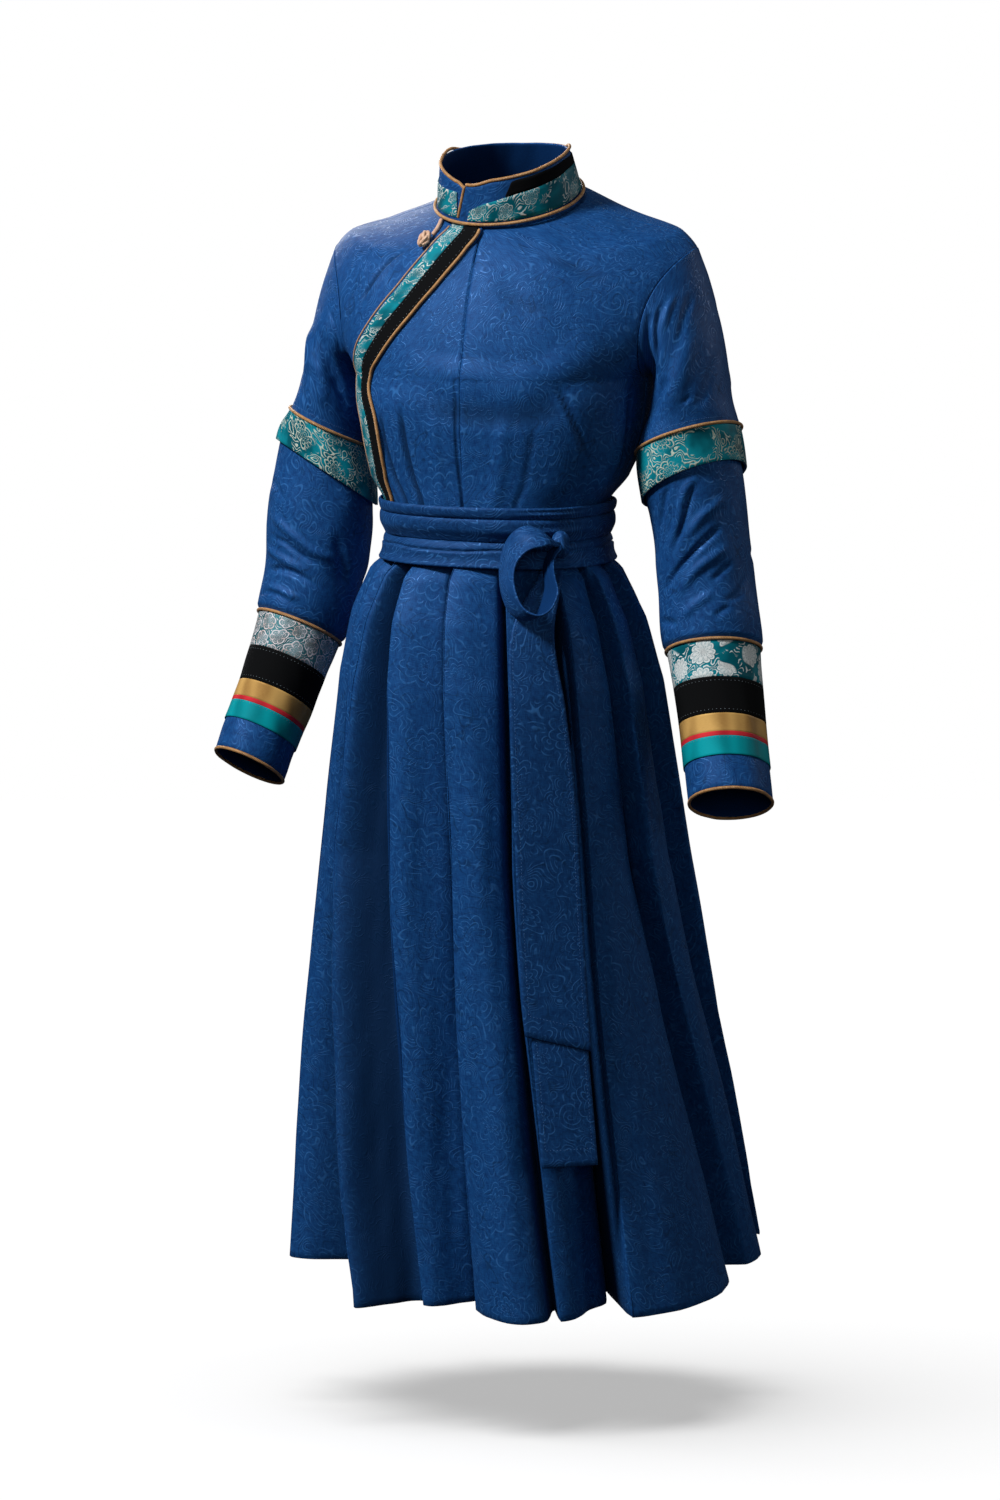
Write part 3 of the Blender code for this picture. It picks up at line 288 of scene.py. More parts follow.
@dataclass(frozen=True)
class BodyForm:
    """The bodice's surface: level 0 at the waist seam, 1 at the underarm, 2 at the neck."""

    neck: Neck = Neck()
    levels: tuple[BodiceLevel, ...] = rows_of(
        BodiceLevel,
        (-0.336, 0.112, 0.093, 0.085, -0.033),
        (-0.303, 0.117, 0.099, 0.089, -0.030),
        (-0.280, 0.1345, 0.107, 0.099, -0.023),
        (-0.245, 0.1475, 0.117, 0.107, -0.017),
        (-0.205, 0.1545, 0.124, 0.112, -0.013),
        (-0.175, 0.156, 0.121, 0.113, -0.011),
    )
    section_power: float = 2.3
    shoulder_powers: tuple[float, float, float] = (1.45, 2.30, 2.0)
    facing_power: float = 1.2
    shoulder_widening: float = 0.47
    shoulder_back: float = 0.020
    shoulder_dip: float = 0.010
    dip_level: float = 1.60
    dip_power: float = 1.5
    tip_power: float = 3
    tip_level: float = 1.50
    armhole_front: float = math.radians(27)
    armhole_back: float = math.radians(26)
    walk_steps: int = 4

    def point(self, angle: Any, level: Any) -> Array:
        """The bodice's surface.

        Args:
            angle: Round the body.
            level: 0 to 2, as above.

        Returns:
            Points.
        """
        angle, level = paired(angle, level)
        waist, underarm = self.levels[0].z, self.levels[-1].z
        z = waist + (underarm - waist) * np.clip(level, 0, 1)
        row = smooth_at(self.levels[::-1], z)
        facing = np.cos(angle)
        depth = np.where(facing > 0, row.front, row.back)
        x = row.half_width * signed_power(np.sin(angle), 2 / self.section_power)
        y = row.centre_y - depth * signed_power(facing, 2 / self.section_power)
        turn = np.clip(level - 1, 0, 1) * math.pi / 2
        front, side, back = self.shoulder_powers
        power = side + np.where(facing > 0, front - side, back - side) * np.abs(facing) ** self.facing_power
        inward = 1 - np.cos(turn) ** (2 / power)
        upward = np.sin(turn) ** (2 / power)
        neck = self.neck.point(angle, self.neck.radius + SEAM, 0.0)
        x = x + (neck[..., 0] - x) * inward
        y = y + (neck[..., 1] - y) * inward
        z = z + (neck[..., 2] - z) * upward
        sideways = np.abs(np.sin(angle))
        hollow = np.sin(math.pi * np.clip((level - self.dip_level) / (2 - self.dip_level), 0, 1))
        tip = sideways**self.tip_power * np.sin(2 * turn)
        x = x * (1 + self.shoulder_widening * tip)
        z = z - self.shoulder_dip * sideways**self.dip_power * hollow
        return np.stack([x, y + self.shoulder_back * tip, z], -1)

    def normal(self, angle: Any, level: Any) -> Array:
        """Outward unit normals, taken a little inside the surface's ends."""
        return normals_of(self.point, np.asarray(angle, float), np.clip(level, STEP, 2 - STEP))

    def walk(self, angle: Array, level: Array, across: Array, distance: float) -> tuple[Array, Array]:
        """Walks over the surface in a direction.

        Args:
            angle: Where the walk starts.
            level: Where the walk starts.
            across: Unit vectors of the direction.
            distance: How far to walk.

        Returns:
            The angles and levels where it ends.
        """
        for _ in range(self.walk_steps):
            along_a = (self.point(angle + STEP, level) - self.point(angle - STEP, level)) / (2 * STEP)
            along_l = (self.point(angle, level + STEP) - self.point(angle, level - STEP)) / (2 * STEP)
            move = across * distance / self.walk_steps
            aa, al, ll = dots(along_a, along_a), dots(along_a, along_l), dots(along_l, along_l)
            ma, ml = dots(move, along_a), dots(move, along_l)
            scale = aa * ll - al * al
            angle = angle + (ll * ma - al * ml) / scale
            level = np.clip(level + (aa * ml - al * ma) / scale, 0, 2)
        return angle, level

    def armhole(self, side: int, turn: Array) -> tuple[Array, Array]:
        """The armhole's seam.

        Args:
            side: 1 for the wearer's left, -1 for the right.
            turn: 0 at the shoulder tip, pi / 2 in front and pi below.

        Returns:
            Its angles and levels on the bodice.
        """
        half = np.where(np.sin(turn) > 0, self.armhole_front, self.armhole_back)
        angle = math.pi / 2 - half * np.sin(turn)
        middle, reach = (self.tip_level + 1) / 2, (self.tip_level - 1) / 2
        return side * angle, middle + reach * np.cos(turn)


LEFT_ARM = rows_of(
    ArmStation,
    (0.1720, 0.012, -0.098, 0.0600, 0.0580, 1.30, 0.00),
    (0.1930, 0.010, -0.150, 0.0400, 0.0600, 0.55, 0.02),
    (0.1985, 0.007, -0.2000, 0.0400, 0.0615, 0.30, 0.10),
    (0.1965, 0.004, -0.2405, 0.0535, 0.0600, 0.38, 0.20),
    (0.2030, 0.002, -0.2820, 0.0560, 0.0590, 0.52, 0.28),
    (0.2130, 0.001, -0.3450, 0.0500, 0.0530, 0.26, 0.22),
    (0.2220, -0.003, -0.410, 0.0500, 0.0510, 0.20, 0.30),
    (0.2340, -0.015, -0.468, 0.0460, 0.0465, 0.19, 0.42),
    (0.2500, -0.037, -0.530, 0.0435, 0.0445, 0.20, 0.50),
    (0.2690, -0.065, -0.600, 0.0430, 0.0440, 0.24, 0.58),
)
RIGHT_ARM = rows_of(
    ArmStation,
    (0.1720, 0.012, -0.098, 0.0600, 0.0580, 1.30, 0.00),
    (0.1920, 0.010, -0.150, 0.0385, 0.0600, 0.55, 0.02),
    (0.1975, 0.007, -0.1990, 0.0385, 0.0615, 0.38, 0.08),
    (0.2050, 0.004, -0.2405, 0.0450, 0.0600, 0.46, 0.20),
    (0.2110, 0.002, -0.2850, 0.0645, 0.0590, 0.58, 0.36),
    (0.2190, -0.001, -0.3500, 0.0605, 0.0570, 0.34, 0.28),
    (0.2270, -0.007, -0.410, 0.0520, 0.0510, 0.27, 0.38),
    (0.2395, -0.021, -0.468, 0.0440, 0.0455, 0.27, 0.50),
    (0.2550, -0.043, -0.530, 0.0410, 0.0435, 0.27, 0.58),
    (0.2710, -0.071, -0.596, 0.0400, 0.0420, 0.28, 0.62),
)


@dataclass(frozen=True)
class ArmForm:
    """An arm's surface: turn 0 outside, pi / 2 in front and pi inside; the stations count down the arm."""

    side: int
    body: BodyForm
    stations: tuple[ArmStation, ...]
    cap_end: float = 2.0  # station where the sleeve cap has become a plain tube
    armhole_gap: float = 0.0006

    def centre(self, station: Any) -> Array:
        """The middle of the ring at a station."""
        ring = smooth_rows(self.stations, station)
        return np.stack([self.side * ring.x, ring.y, ring.z], -1)

    def tube(self, turn: Any, station: Any) -> Array:
        """The plain tube of the arm.

        Args:
            turn: Round the arm.
            station: Down the arm.

        Returns:
            Points.
        """
        turn, station = paired(turn, station)
        ring = smooth_rows(self.stations, station)
        axis = unit(np.stack([self.side * ring.out, -ring.forward, -np.ones_like(ring.out)], -1))
        sideways = np.array([self.side, 0.0, 0.0])
        outward = unit(sideways - axis * dots(sideways, axis)[..., None])
        forward = np.cross(axis, outward) * self.side
        out, front = ring.side * np.cos(turn), ring.front * np.sin(turn)
        return self.centre(station) + outward * out[..., None] + forward * front[..., None]

    def point(self, turn: Any, station: Any) -> Array:
        """The over sleeve, whose first ring is the armhole's seam.

        Args:
            turn: Round the arm.
            station: Down the arm.

        Returns:
            Points.
        """
        turn, station = paired(turn, station)
        fade = (1 - np.clip(station / self.cap_end, 0, 1)) ** 2
        seam = self.body.point(*self.body.armhole(self.side, turn))
        seam = seam + np.array([self.side * self.armhole_gap, 0, 0])
        return self.tube(turn, station) + fade[..., None] * (seam - self.tube(turn, 0 * station))


@dataclass(frozen=True)
class SkirtForm:
    """The pleated skirt: columns count its fold edges, and share is 0 at the waist and 1 at the hem."""

    levels: tuple[SkirtLevel, ...] = rows_of(
        SkirtLevel,
        (-0.338, 0.1100, 0.0900, 0.000, -0.033), (-0.358, 0.1150, 0.0945, 0.000, -0.033),
        (-0.378, 0.1370, 0.1140, -0.001, -0.031), (-0.424, 0.1590, 0.1370, -0.001, -0.027),
        (-0.490, 0.1750, 0.1560, -0.001, -0.021), (-0.620, 0.1940, 0.1780, -0.001, -0.013),
        (-0.780, 0.2155, 0.2040, 0.001, -0.005), (-0.960, 0.2425, 0.2360, 0.010, 0.002),
        (-1.123, 0.2665, 0.2680, 0.022, 0.006),
    )
    pleats: tuple[Pleat, ...] = rows_of(
        Pleat,
        (-41, -45, -22, 0.008, 0.068, 0.004, 0.030, 0.034, 0.50, 0.900),
        (-28, -20, -8, 0.004, 0.045, 0.044, 0.000, 0.034, 0.08, 0.600),
        (-4, 3, 6.5, 0.006, 0.074, 0.050, 0.030, 0.030, 0.78, 0.965),
        (22, 23, 29, 0.006, 0.020, 0.019, 0.000, 0.024, 0.80, 0.965),
        (46, 47, 46, 0.008, 0.060, 0.012, 0.012, 0.028, 0.72, 0.960),
        (69, 73, 99, 0.005, 0.032, 0.028, 0.015, 0.012, 0.72, 0.930),
        (95, 101, 124, 0.007, 0.030, 0.008, 0.010, 0.014, 0.60, 0.900),
        (122, 130, 148, 0.007, 0.045, 0.006, 0.012, 0.022, 0.76, 0.960),
        (150, 156, 172, 0.006, 0.028, 0.024, 0.010, 0.014, 0.50, 0.800),
        (176, 184, 203, 0.008, 0.048, 0.008, 0.014, 0.022, 0.78, 0.960),
        (203, 209, 225, 0.006, 0.028, 0.020, 0.010, 0.014, 0.50, 0.800),
        (229, 236, 252, 0.007, 0.040, 0.006, 0.012, 0.024, 0.78, 0.960),
        (254, 262, 276, 0.006, 0.026, 0.016, 0.010, 0.014, 0.50, 0.850),
        (282, 286, 297, 0.006, 0.026, 0.006, 0.002, 0.014, 0.50, 0.800),
        (307, 304, 306, 0.003, 0.068, 0.066, 0.000, 0.016, 0.40, 0.750),
    )
    middle: float = 0.42  # share of the height at which a pleat's middle angle holds
    start_depth: float = 0.2  # how far open a pleat is at the waist, before ease()
    opens: float = 0.06
    late_power: float = 1.5
    recede_power: float = 1.3
    edge_slack: float = 1e-8
    valley: float = 0.93  # how far between two fold edges the valley lies
    undercut: float = 0.42  # part of a pleat's depth by which its valley slips under the next edge
    tuck_undercut: float = 0.2  # and the same part of its tuck
    slip_start: float = 0.55  # where on its way across the cloth starts to slip under
    tuck_slope: float = 0.7  # part of a tuck's width that runs in
    tuck_opens: float = 0.1
    tuck_start: float = 0.3  # how far open a tuck is at the waist, before ease()
    tuck_waist: float = 0.75  # its depth there, as a share of its depth at the hem
    leaning: float = 0.012  # how far every pleat runs in on its way to the next edge
    lean_power: float = 1.2
    # The shade painted into the colour of the tucks:
    deep_tuck: float = 0.024  # a tuck of this depth gets the most painted shade inside
    dark_power: float = 1.5
    dark_slope: float = 0.6  # part of a tuck's width over which its painted shade deepens
    painted_shade: float = 0.95  # the painted shade there
    spread: float = 0.13  # how far before a tuck its painted shade starts

    def envelope(self, angle: Any, z: Any, out: Any) -> Array:
        """The skirt's smooth envelope.

        Args:
            angle: Round the body.
            z: Height.
            out: How far the points are moved out.

        Returns:
            Points.
        """
        row = smooth_at(self.levels, z)
        x = row.centre_x + (row.half_width + out) * np.sin(angle)
        y = row.centre_y - (row.half_depth + out) * np.cos(angle)
        return np.stack([x, y, z + 0 * x], -1)

    def edge(self, number: float, share: Array) -> Array:
        """Reads a fold edge.

        Args:
            number: Which one; past the last they start again, a turn further on.
            share: Shares of the skirt's height.

        Returns:
            Rows of angle, depth, roll, bulge, tuck and the tuck's two ends.
        """
        rounds, index = divmod(int(number), len(self.pleats))
        pleat = self.pleats[index]
        angle = np.interp(share, (0, self.middle, 1), pleat[:3]) + 360 * rounds
        depth = pleat.depth_waist + (pleat.depth_hem - pleat.depth_waist) * share
        opening = ease(share / self.opens + self.start_depth)
        late = np.maximum(share, 0) ** self.late_power
        height = self.tuck_waist + (1 - self.tuck_waist) * share
        tuck = pleat.tuck * ease(share / self.tuck_opens + self.tuck_start) * height
        ends = pleat.tuck_from + 0 * share, pleat.tuck_to + 0 * share
        rolls = pleat.roll * late, pleat.bulge * late
        return np.stack([np.radians(angle), depth * opening, *rolls, tuck, *ends])

    def edges(self, number: Array, share: Array) -> Array:
        """Reads fold edges for points that each have their own.

        Args:
            number: The fold edges' numbers.
            share: The points' shares of the skirt's height.

        Returns:
            What edge() gives, point by point.
        """
        values = np.zeros((7, *share.shape))
        for k in np.unique(number):
            here = number == k
            values[:, here] = self.edge(k, share[here])
        return values

    def tucked(self, across: Array, start: Array, end: Array, slope: float, spread: float = 0.0) -> Array:
        """How far into a tuck a point lies.

        Args:
            across: Shares of the pleat's width.
            start: Where the tuck starts.
            end: Where it ends.
            slope: Part of its width over which it deepens.
            spread: How far before its start it deepens already.

        Returns:
            0 on the pleat's face, up to 1 at the bottom.
        """
        inside = ease((across - start + spread) / (spread + slope * (end - start)))
        return inside * (1 - ease((across - end) / (1 - end)))

    def folded(self, column: Array, share: Array) -> Array:
        """Gives the shade painted on the cloth where it lies deep in its pleats.

        Args:
            column: Columns of the points.
            share: Their shares of the height.

        Returns:
            0 on a pleat's face, up to 1.
        """
        number = np.floor(column + self.edge_slack)
        tuck, start, end = self.edges(number + 1, share)[4:]
        inside = self.tucked(column - number, start, end, self.dark_slope, self.spread)
        return self.painted_shade * np.clip(tuck / self.deep_tuck, 0, 1) ** self.dark_power * inside

    def point(self, column: Any, share: Any) -> Array:
        """The skirt's surface, each valley slipped under the next fold edge.

        Args:
            column: Fold edges counted round the body, with parts of the way to the next.
            share: Of the height, from the waist.

        Returns:
            Points.
        """
        column, share = paired(column, share)
        number = np.floor(column + self.edge_slack)
        start, _, start_roll, bulge, *_ = self.edges(number, share)
        end, depth, end_roll, _, tuck, tuck_from, tuck_to = self.edges(number + 1, share)
        across = column - number
        shown = np.clip(across / self.valley, 0, 1)
        along = ease(across / self.valley) ** self.recede_power
        back = ease((across - self.valley) / (1 - self.valley))
        inward = start_roll + (depth - start_roll) * along + (end_roll - depth) * back
        inward = inward - bulge * np.sin(math.pi * shown)
        inward = inward + tuck * self.tucked(across, tuck_from, tuck_to, self.tuck_slope)
        opened = ease(share / self.tuck_opens)
        inward = inward + self.leaning * opened * shown**self.lean_power * (1 - back)
        top, hem = self.levels[0].z, self.levels[-1].z
        slip = self.undercut * np.maximum(depth - end_roll, 0) + self.tuck_undercut * tuck
        slip = slip / self.levels[-1].half_width
        slip = slip * ease((across - self.slip_start) / (self.valley - self.slip_start)) * (1 - back)
        return self.envelope(start + (end - start) * across + slip, top + (hem - top) * share, -inward)


@dataclass(frozen=True)
class WaistForm:
    """The waist: the bodice above its seam and the skirt below it."""

    body: BodyForm
    skirt: SkirtForm
    blend: float = 0.012

    def point(self, angle: Any, z: Any, out: Any) -> Array:
        """The cloth round the waist.

        Args:
            angle: Round the body.
            z: Height.
            out: How far the points are moved out from the cloth.

        Returns:
            Points.
        """
        levels = self.skirt.levels
        upper, lower = smooth_at(self.body.levels[::-1], z), smooth_at(levels, z)
        above = ease((z - levels[0].z) / self.blend)
        facing = np.cos(angle)
        depth = np.where(facing > 0, upper.front, upper.back)
        width = lower.half_width + (upper.half_width - lower.half_width) * above + out
        depth = lower.half_depth + (depth - lower.half_depth) * above + out
        power = 2 / self.body.section_power
        x = width * signed_power(np.sin(angle), power)
        y = self.body.levels[0].centre_y - depth * signed_power(facing, power)
        return np.stack([x, y, z + 0 * x], -1)


# ---- Creases ----
class Spot(NamedTuple):
    """A place on a form: degrees round it, and its level or station."""

    degrees: float
    level: float


class Crease(NamedTuple):
    """A fold in the cloth: its course, half width and height in millimetres. A height below zero is a
    trough. Lip is the height of the ridge on the course's right, and keeps is a pair that says whether
    its start and its end run into a seam at full height."""

    course: tuple[tuple[float, float], ...]
    width: float
    height: float
    lip: float = 0.0
    keeps: tuple[bool, bool] = (False, False)


@dataclass
class Folds:
    """The creases of one form. Their lift depends on a point's place only, so layers crease together."""

    surface: Surface
    creases: Sequence[Crease]
    samples: int = 36
    fade: float = 0.3  # share of a course over which it fades in or out
    lip_place: float = 1.25  # the lip's distance from the course, in half widths

    def lift(self, points: Array) -> Array:
        """How far the creases move the cloth out.

        Args:
            points: Points on or near the form.

        Returns:
            Distances.
        """
        flat = points.reshape(-1, 3)
        total = sum((self.lift_of(crease, flat) for crease in self.creases), np.zeros(len(flat)))
        return total.reshape(points.shape[:-1])

    def lift_of(self, crease: Crease, points: Array) -> Array:
        """How far one crease moves the cloth out.

        Args:
            crease: The crease.
            points: Points on the form, n x 3.

        Returns:
            n distances.
        """
        rows = tuple(Spot(*place) for place in crease.course)
        spot = smooth_rows(rows, np.linspace(0, len(rows) - 1, self.samples))
        angle, level = np.radians(spot.degrees), spot.level
        line, normal = self.surface(angle, level), normals_of(self.surface, angle, level)
        width = crease.width * MM
        reach = width * (1 + self.lip_place)
        lift = np.zeros(len(points))
        near = np.all((points > line.min(0) - reach) & (points < line.max(0) + reach), axis=1)
        along = np.diff(line, axis=0)
        gap = points[near][:, None] - line[:-1]
        share = np.clip(dots(gap, along) / np.maximum(dots(along, along), 1e-12), 0, 1)
        gap = gap - share[..., None] * along
        distance = np.linalg.norm(gap, axis=-1)
        best = np.argmin(distance, 1) if len(distance) else np.zeros(0, int)
        pick = np.arange(len(best)), best
        where = (best + share[pick]) / (self.samples - 1)
        rightward = np.cross(along, normal[:-1])[best]
        across = np.sign(dots(gap[pick], rightward)) * distance[pick] / width
        fade = np.ones(len(best))
        for share_from_end, keeps in ((where, crease.keeps[0]), (1 - where, crease.keeps[1])):
            if not keeps:
                fade = fade * ease(share_from_end / self.fade)
        hump = crease.height * bump(across) + crease.lip * bump(across - self.lip_place)
        lift[near] = fade * hump * MM
        return lift


# ---- Meshes ----
@dataclass
class Grid:
    """A cloth's outer face as rows x columns points, with rough outward directions. A ring's last column
    joins its first, grain is the column that the warp follows, and folded is the shade painted on a
    point in a fold, from 0 to 1."""

    points: Array
    outward: Array
    ring: bool = False
    grain: int = 0
    folded: Array | None = None

    def turned(self) -> float:
        """1 where rows x columns is the outward turn, or else -1."""
        return float(np.sign(np.sum(dots(np.cross(*self.tangents()), self.outward))))

    def tangents(self) -> tuple[Array, Array]:
        """Finds the grid's directions.

        Returns:
            Vectors down the columns and along the rows.
        """
        p = self.points
        around = np.roll(p, -1, 1) - np.roll(p, 1, 1) if self.ring else np.gradient(p, axis=1)
        return np.gradient(p, axis=0), around

    def normals(self) -> Array:
        """Outward unit normals."""
        return unit(np.cross(*self.tangents())) * self.turned()

    def closed(self) -> Array:
        """The points, with a ring's first column again at its end."""
        return np.concatenate([self.points, self.points[:, :1]], 1) if self.ring else self.points

    def lengths(self) -> tuple[Array, Array]:
        """Measures the grid, with a ring's closing column.

        Returns:
            Lengths along the rows from the grain column, and down the columns.
        """
        points = self.closed()
        along = lengths_along(points, 1)
        return along - along[:, self.grain : self.grain + 1], lengths_along(points)

    def flat(self) -> tuple[float, float, float]:
        """Measures the cut piece.

        Returns:
            Its width, length and area.
        """
        along, down = self.lengths()
        p = self.closed()
        first, second = p[1:, 1:] - p[:-1, :-1], p[1:, :-1] - p[:-1, 1:]
        area = float(np.linalg.norm(np.cross(first, second), axis=-1).sum() / 2)
        width, length = float(np.ptp(along, axis=1).max()), float(down.max())
        return width, length, min(area, width * length)


def perimeters(rows: int, columns: int, ring: bool) -> list[Array]:
    """Goes round a grid's open edges.

    Args:
        rows: Of the grid.
        columns: Of the grid.
        ring: Whether its last column joins its first.

    Returns:
        Closed loops of (row, column), each ending where it starts.
    """
    forth, back = np.arange(columns), np.arange(columns)[::-1]
    if ring:
        top = np.stack([np.zeros(columns + 1, int), np.arange(columns + 1)], -1)
        return [top, np.stack([np.full(columns + 1, rows - 1), np.arange(columns + 1)[::-1]], -1)]
    down = np.arange(1, rows)
    sides = [
        np.stack([0 * forth, forth], -1),
        np.stack([down, 0 * down + columns - 1], -1),
        np.stack([0 * back[1:] + rows - 1, back[1:]], -1),
        np.stack([down[::-1][1:], 0 * down[1:]], -1),
        np.zeros((1, 2), int),
    ]
    return [np.concatenate(sides)]


def link(mesh: bpy.types.Mesh) -> bpy.types.Object:
    """Puts a mesh in the scene, smoothly shaded.

    Args:
        mesh: The mesh.

    Returns:
        An object of the same name.
    """
    mesh.shade_smooth()
    made = bpy.data.objects.new(mesh.name, mesh)
    bpy.context.scene.collection.objects.link(made)
    return made


def mesh_of(name: str, points: Array, faces: Array, corners: Array, marks: Array | None) -> bpy.types.Object:
    """Makes an object from quads.

    Args:
        name: The object's name.
        points: Vertices.
        faces: Vertex numbers, n x 4.
        corners: UV coordinates, n x 4 x 2.
        marks: Material numbers of the faces, or None for one material.

    Returns:
        The object.
    """
    mesh = bpy.data.meshes.new(FINE + name)
    mesh.from_pydata(points.tolist(), [], faces.tolist())
    layer = mesh.uv_layers.new(name=UV_NAME)
    layer.data.foreach_set("uv", np.ascontiguousarray(corners, np.float32).ravel())
    if marks is not None:
        mesh.polygons.foreach_set("material_index", np.ascontiguousarray(marks, np.int32))
    return link(mesh)


def shell(name: str, grid: Grid, thickness: float) -> bpy.types.Object:
    """Makes a closed cloth shell with rounded rims; faces of its inner side have material 1.

    Args:
        name: The object's name.
        grid: The outer face.
        thickness: Of the cloth.

    Returns:
        The object.
    """
    points = grid.points
    rows, columns = points.shape[:2]
    inner = points - grid.normals() * thickness
    wide = columns + 1 if grid.ring else columns
    row, column = np.meshgrid(np.arange(rows - 1), np.arange(wide - 1), indexing="ij")
    corner_rows = np.stack([row, row, row + 1, row + 1], -1).reshape(-1, 4)
    corner_columns = np.stack([column, column + 1, column + 1, column], -1).reshape(-1, 4)
    vertex, place = corner_rows * columns + corner_columns % columns, corner_rows * wide + corner_columns
    behind = rows * columns
    faces, places = [vertex, vertex[:, ::-1] + behind], [place, place[:, ::-1]]
    away = np.zeros_like(points)
    away[0] += unit(points[0] - points[1])
    away[-1] += unit(points[-1] - points[-2])
    if not grid.ring:
        away[:, 0] += unit(points[:, 0] - points[:, 1])
        away[:, -1] += unit(points[:, -1] - points[:, -2])
    rounded = (points + inner) / 2 + unit(away) * thickness / 2
    rims, start = [], 2 * behind
    for loop in perimeters(rows, columns, grid.ring):
        count = len(loop) - 1
        outer = loop[:, 0] * columns + loop[:, 1] % columns
        spot = loop[:, 0] * wide + loop[:, 1]
        middle = start + np.arange(count + 1) % count
        for near, far in ((outer, middle), (middle, outer + behind)):
            faces.append(np.stack([near[1:], near[:-1], far[:-1], far[1:]], -1))
            places.append(np.stack([spot[1:], spot[:-1], spot[:-1], spot[1:]], -1))
        rims.append(rounded.reshape(-1, 3)[outer[:-1]])
        start += count
    marks = np.concatenate([np.full(len(block), k == 1) for k, block in enumerate(faces)])
    all_faces, all_places = np.concatenate(faces), np.concatenate(places)
    if grid.turned() > 0:
        all_faces, all_places = all_faces[:, ::-1], all_places[:, ::-1]
    vertices = np.concatenate([points.reshape(-1, 3), inner.reshape(-1, 3), *rims])
    uv = np.stack(grid.lengths(), -1).reshape(-1, 2)
    made = mesh_of(name, vertices, all_faces, uv[all_places], marks)
    # the shade painted in folds goes on both faces, as a point attribute for the material
    if grid.folded is not None:
        painted_shade_values = np.zeros(len(vertices), np.float32)
        painted_shade_values[: 2 * behind] = np.tile(grid.folded.ravel(), 2)
        made.data.attributes.new(PAINTED_SHADE_ATTRIBUTE, "FLOAT", "POINT").data.foreach_set("value", painted_shade_values)
    return made


def tube(name: str, path: Array, radius: float, across: Array, ring: bool = False) -> bpy.types.Object:
    """Makes a cord along a path, with rounded ends where it isn't a ring.

    Args:
        name: The object's name.
        path: Points, n x 3.
        radius: Of the cord.
        across: Vectors that the first corner of each section points along.
        ring: Whether the last point joins the first.

    Returns:
        The object; its UV map runs along the cord and round it.
    """
    radii, sides = np.full(len(path), radius), CORD_SIDES
    if not ring:
        tilts = np.radians((84, 60, 30))  # of the extra sections that round an end
        first, last = unit(path[1] - path[0]), unit(path[-1] - path[-2])
        before = path[0] - first * radius * np.sin(tilts)[:, None]
        after = path[-1] + last * radius * np.sin(tilts[::-1])[:, None]
        path = np.concatenate([before, path, after])
        radii = np.concatenate([radius * np.cos(tilts), radii, radius * np.cos(tilts[::-1])])
        across = np.concatenate([across[:1]] * 3 + [across] + [across[-1:]] * 3)
    count = len(path)
    along = unit(np.roll(path, -1, 0) - np.roll(path, 1, 0) if ring else np.gradient(path, axis=0))
    across = unit(across - along * dots(across, along)[:, None])
    third = np.cross(along, across)
    turns = round_turns(sides)[None, :, None]
    section = np.cos(turns) * across[:, None] + np.sin(turns) * third[:, None]
    points = path[:, None] + radii[:, None, None] * section
    k, s = (g.ravel() for g in np.meshgrid(np.arange(count if ring else count - 1), np.arange(sides)))
    after, t = (k + 1) % count, (s + 1) % sides
    faces = np.stack([k * sides + s, k * sides + t, after * sides + t, after * sides + s], -1)
    length = lengths_along(np.concatenate([path, path[:1]]))
    girth = 2 * math.pi * radius / sides
    u = np.stack([length[k], length[k], length[k + 1], length[k + 1]], -1)
    v = np.stack([s, s + 1, s + 1, s], -1) * girth
    made = mesh_of(name, points.reshape(-1, 3), faces, np.stack([u, v], -1), None)
    if not ring:
        close_ends(made)
    return made


def close_ends(cord: bpy.types.Object) -> None:
    """Fills the small polygons at a cord's two ends.

    Args:
        cord: The cord, open at both ends.
    """
    mesh, sides = cord.data, CORD_SIDES
    count = len(mesh.vertices)
    points = [vertex.co.copy() for vertex in mesh.vertices]
    faces = [list(face.vertices) for face in mesh.polygons]
    uv = [tuple(item.uv) for item in mesh.uv_layers[UV_NAME].data]
    faces += [list(range(sides))[::-1], list(range(count - sides, count))]
    mesh.clear_geometry()
    mesh.from_pydata(points, [], faces)
    layer = mesh.uv_layers.get(UV_NAME) or mesh.uv_layers.new(name=UV_NAME)
    spots = np.array(uv + [uv[0]] * sides + [uv[-1]] * sides, np.float32)
    layer.data.foreach_set("uv", spots.ravel())
    mesh.shade_smooth()


# ---- Finishes ----
def linear(colour: str) -> tuple[float, float, float, float]:
    """Turns an sRGB colour to linear.

    Args:
        colour: Of the form #rrggbb.

    Returns:
        Red, green, blue and an alpha of 1.
    """
    levels = [int(colour[k : k + 2], 16) / 255 for k in (1, 3, 5)]
    red, green, blue = (v / 12.92 if v <= 0.04045 else ((v + 0.055) / 1.055) ** 2.4 for v in levels)
    return red, green, blue, 1.0


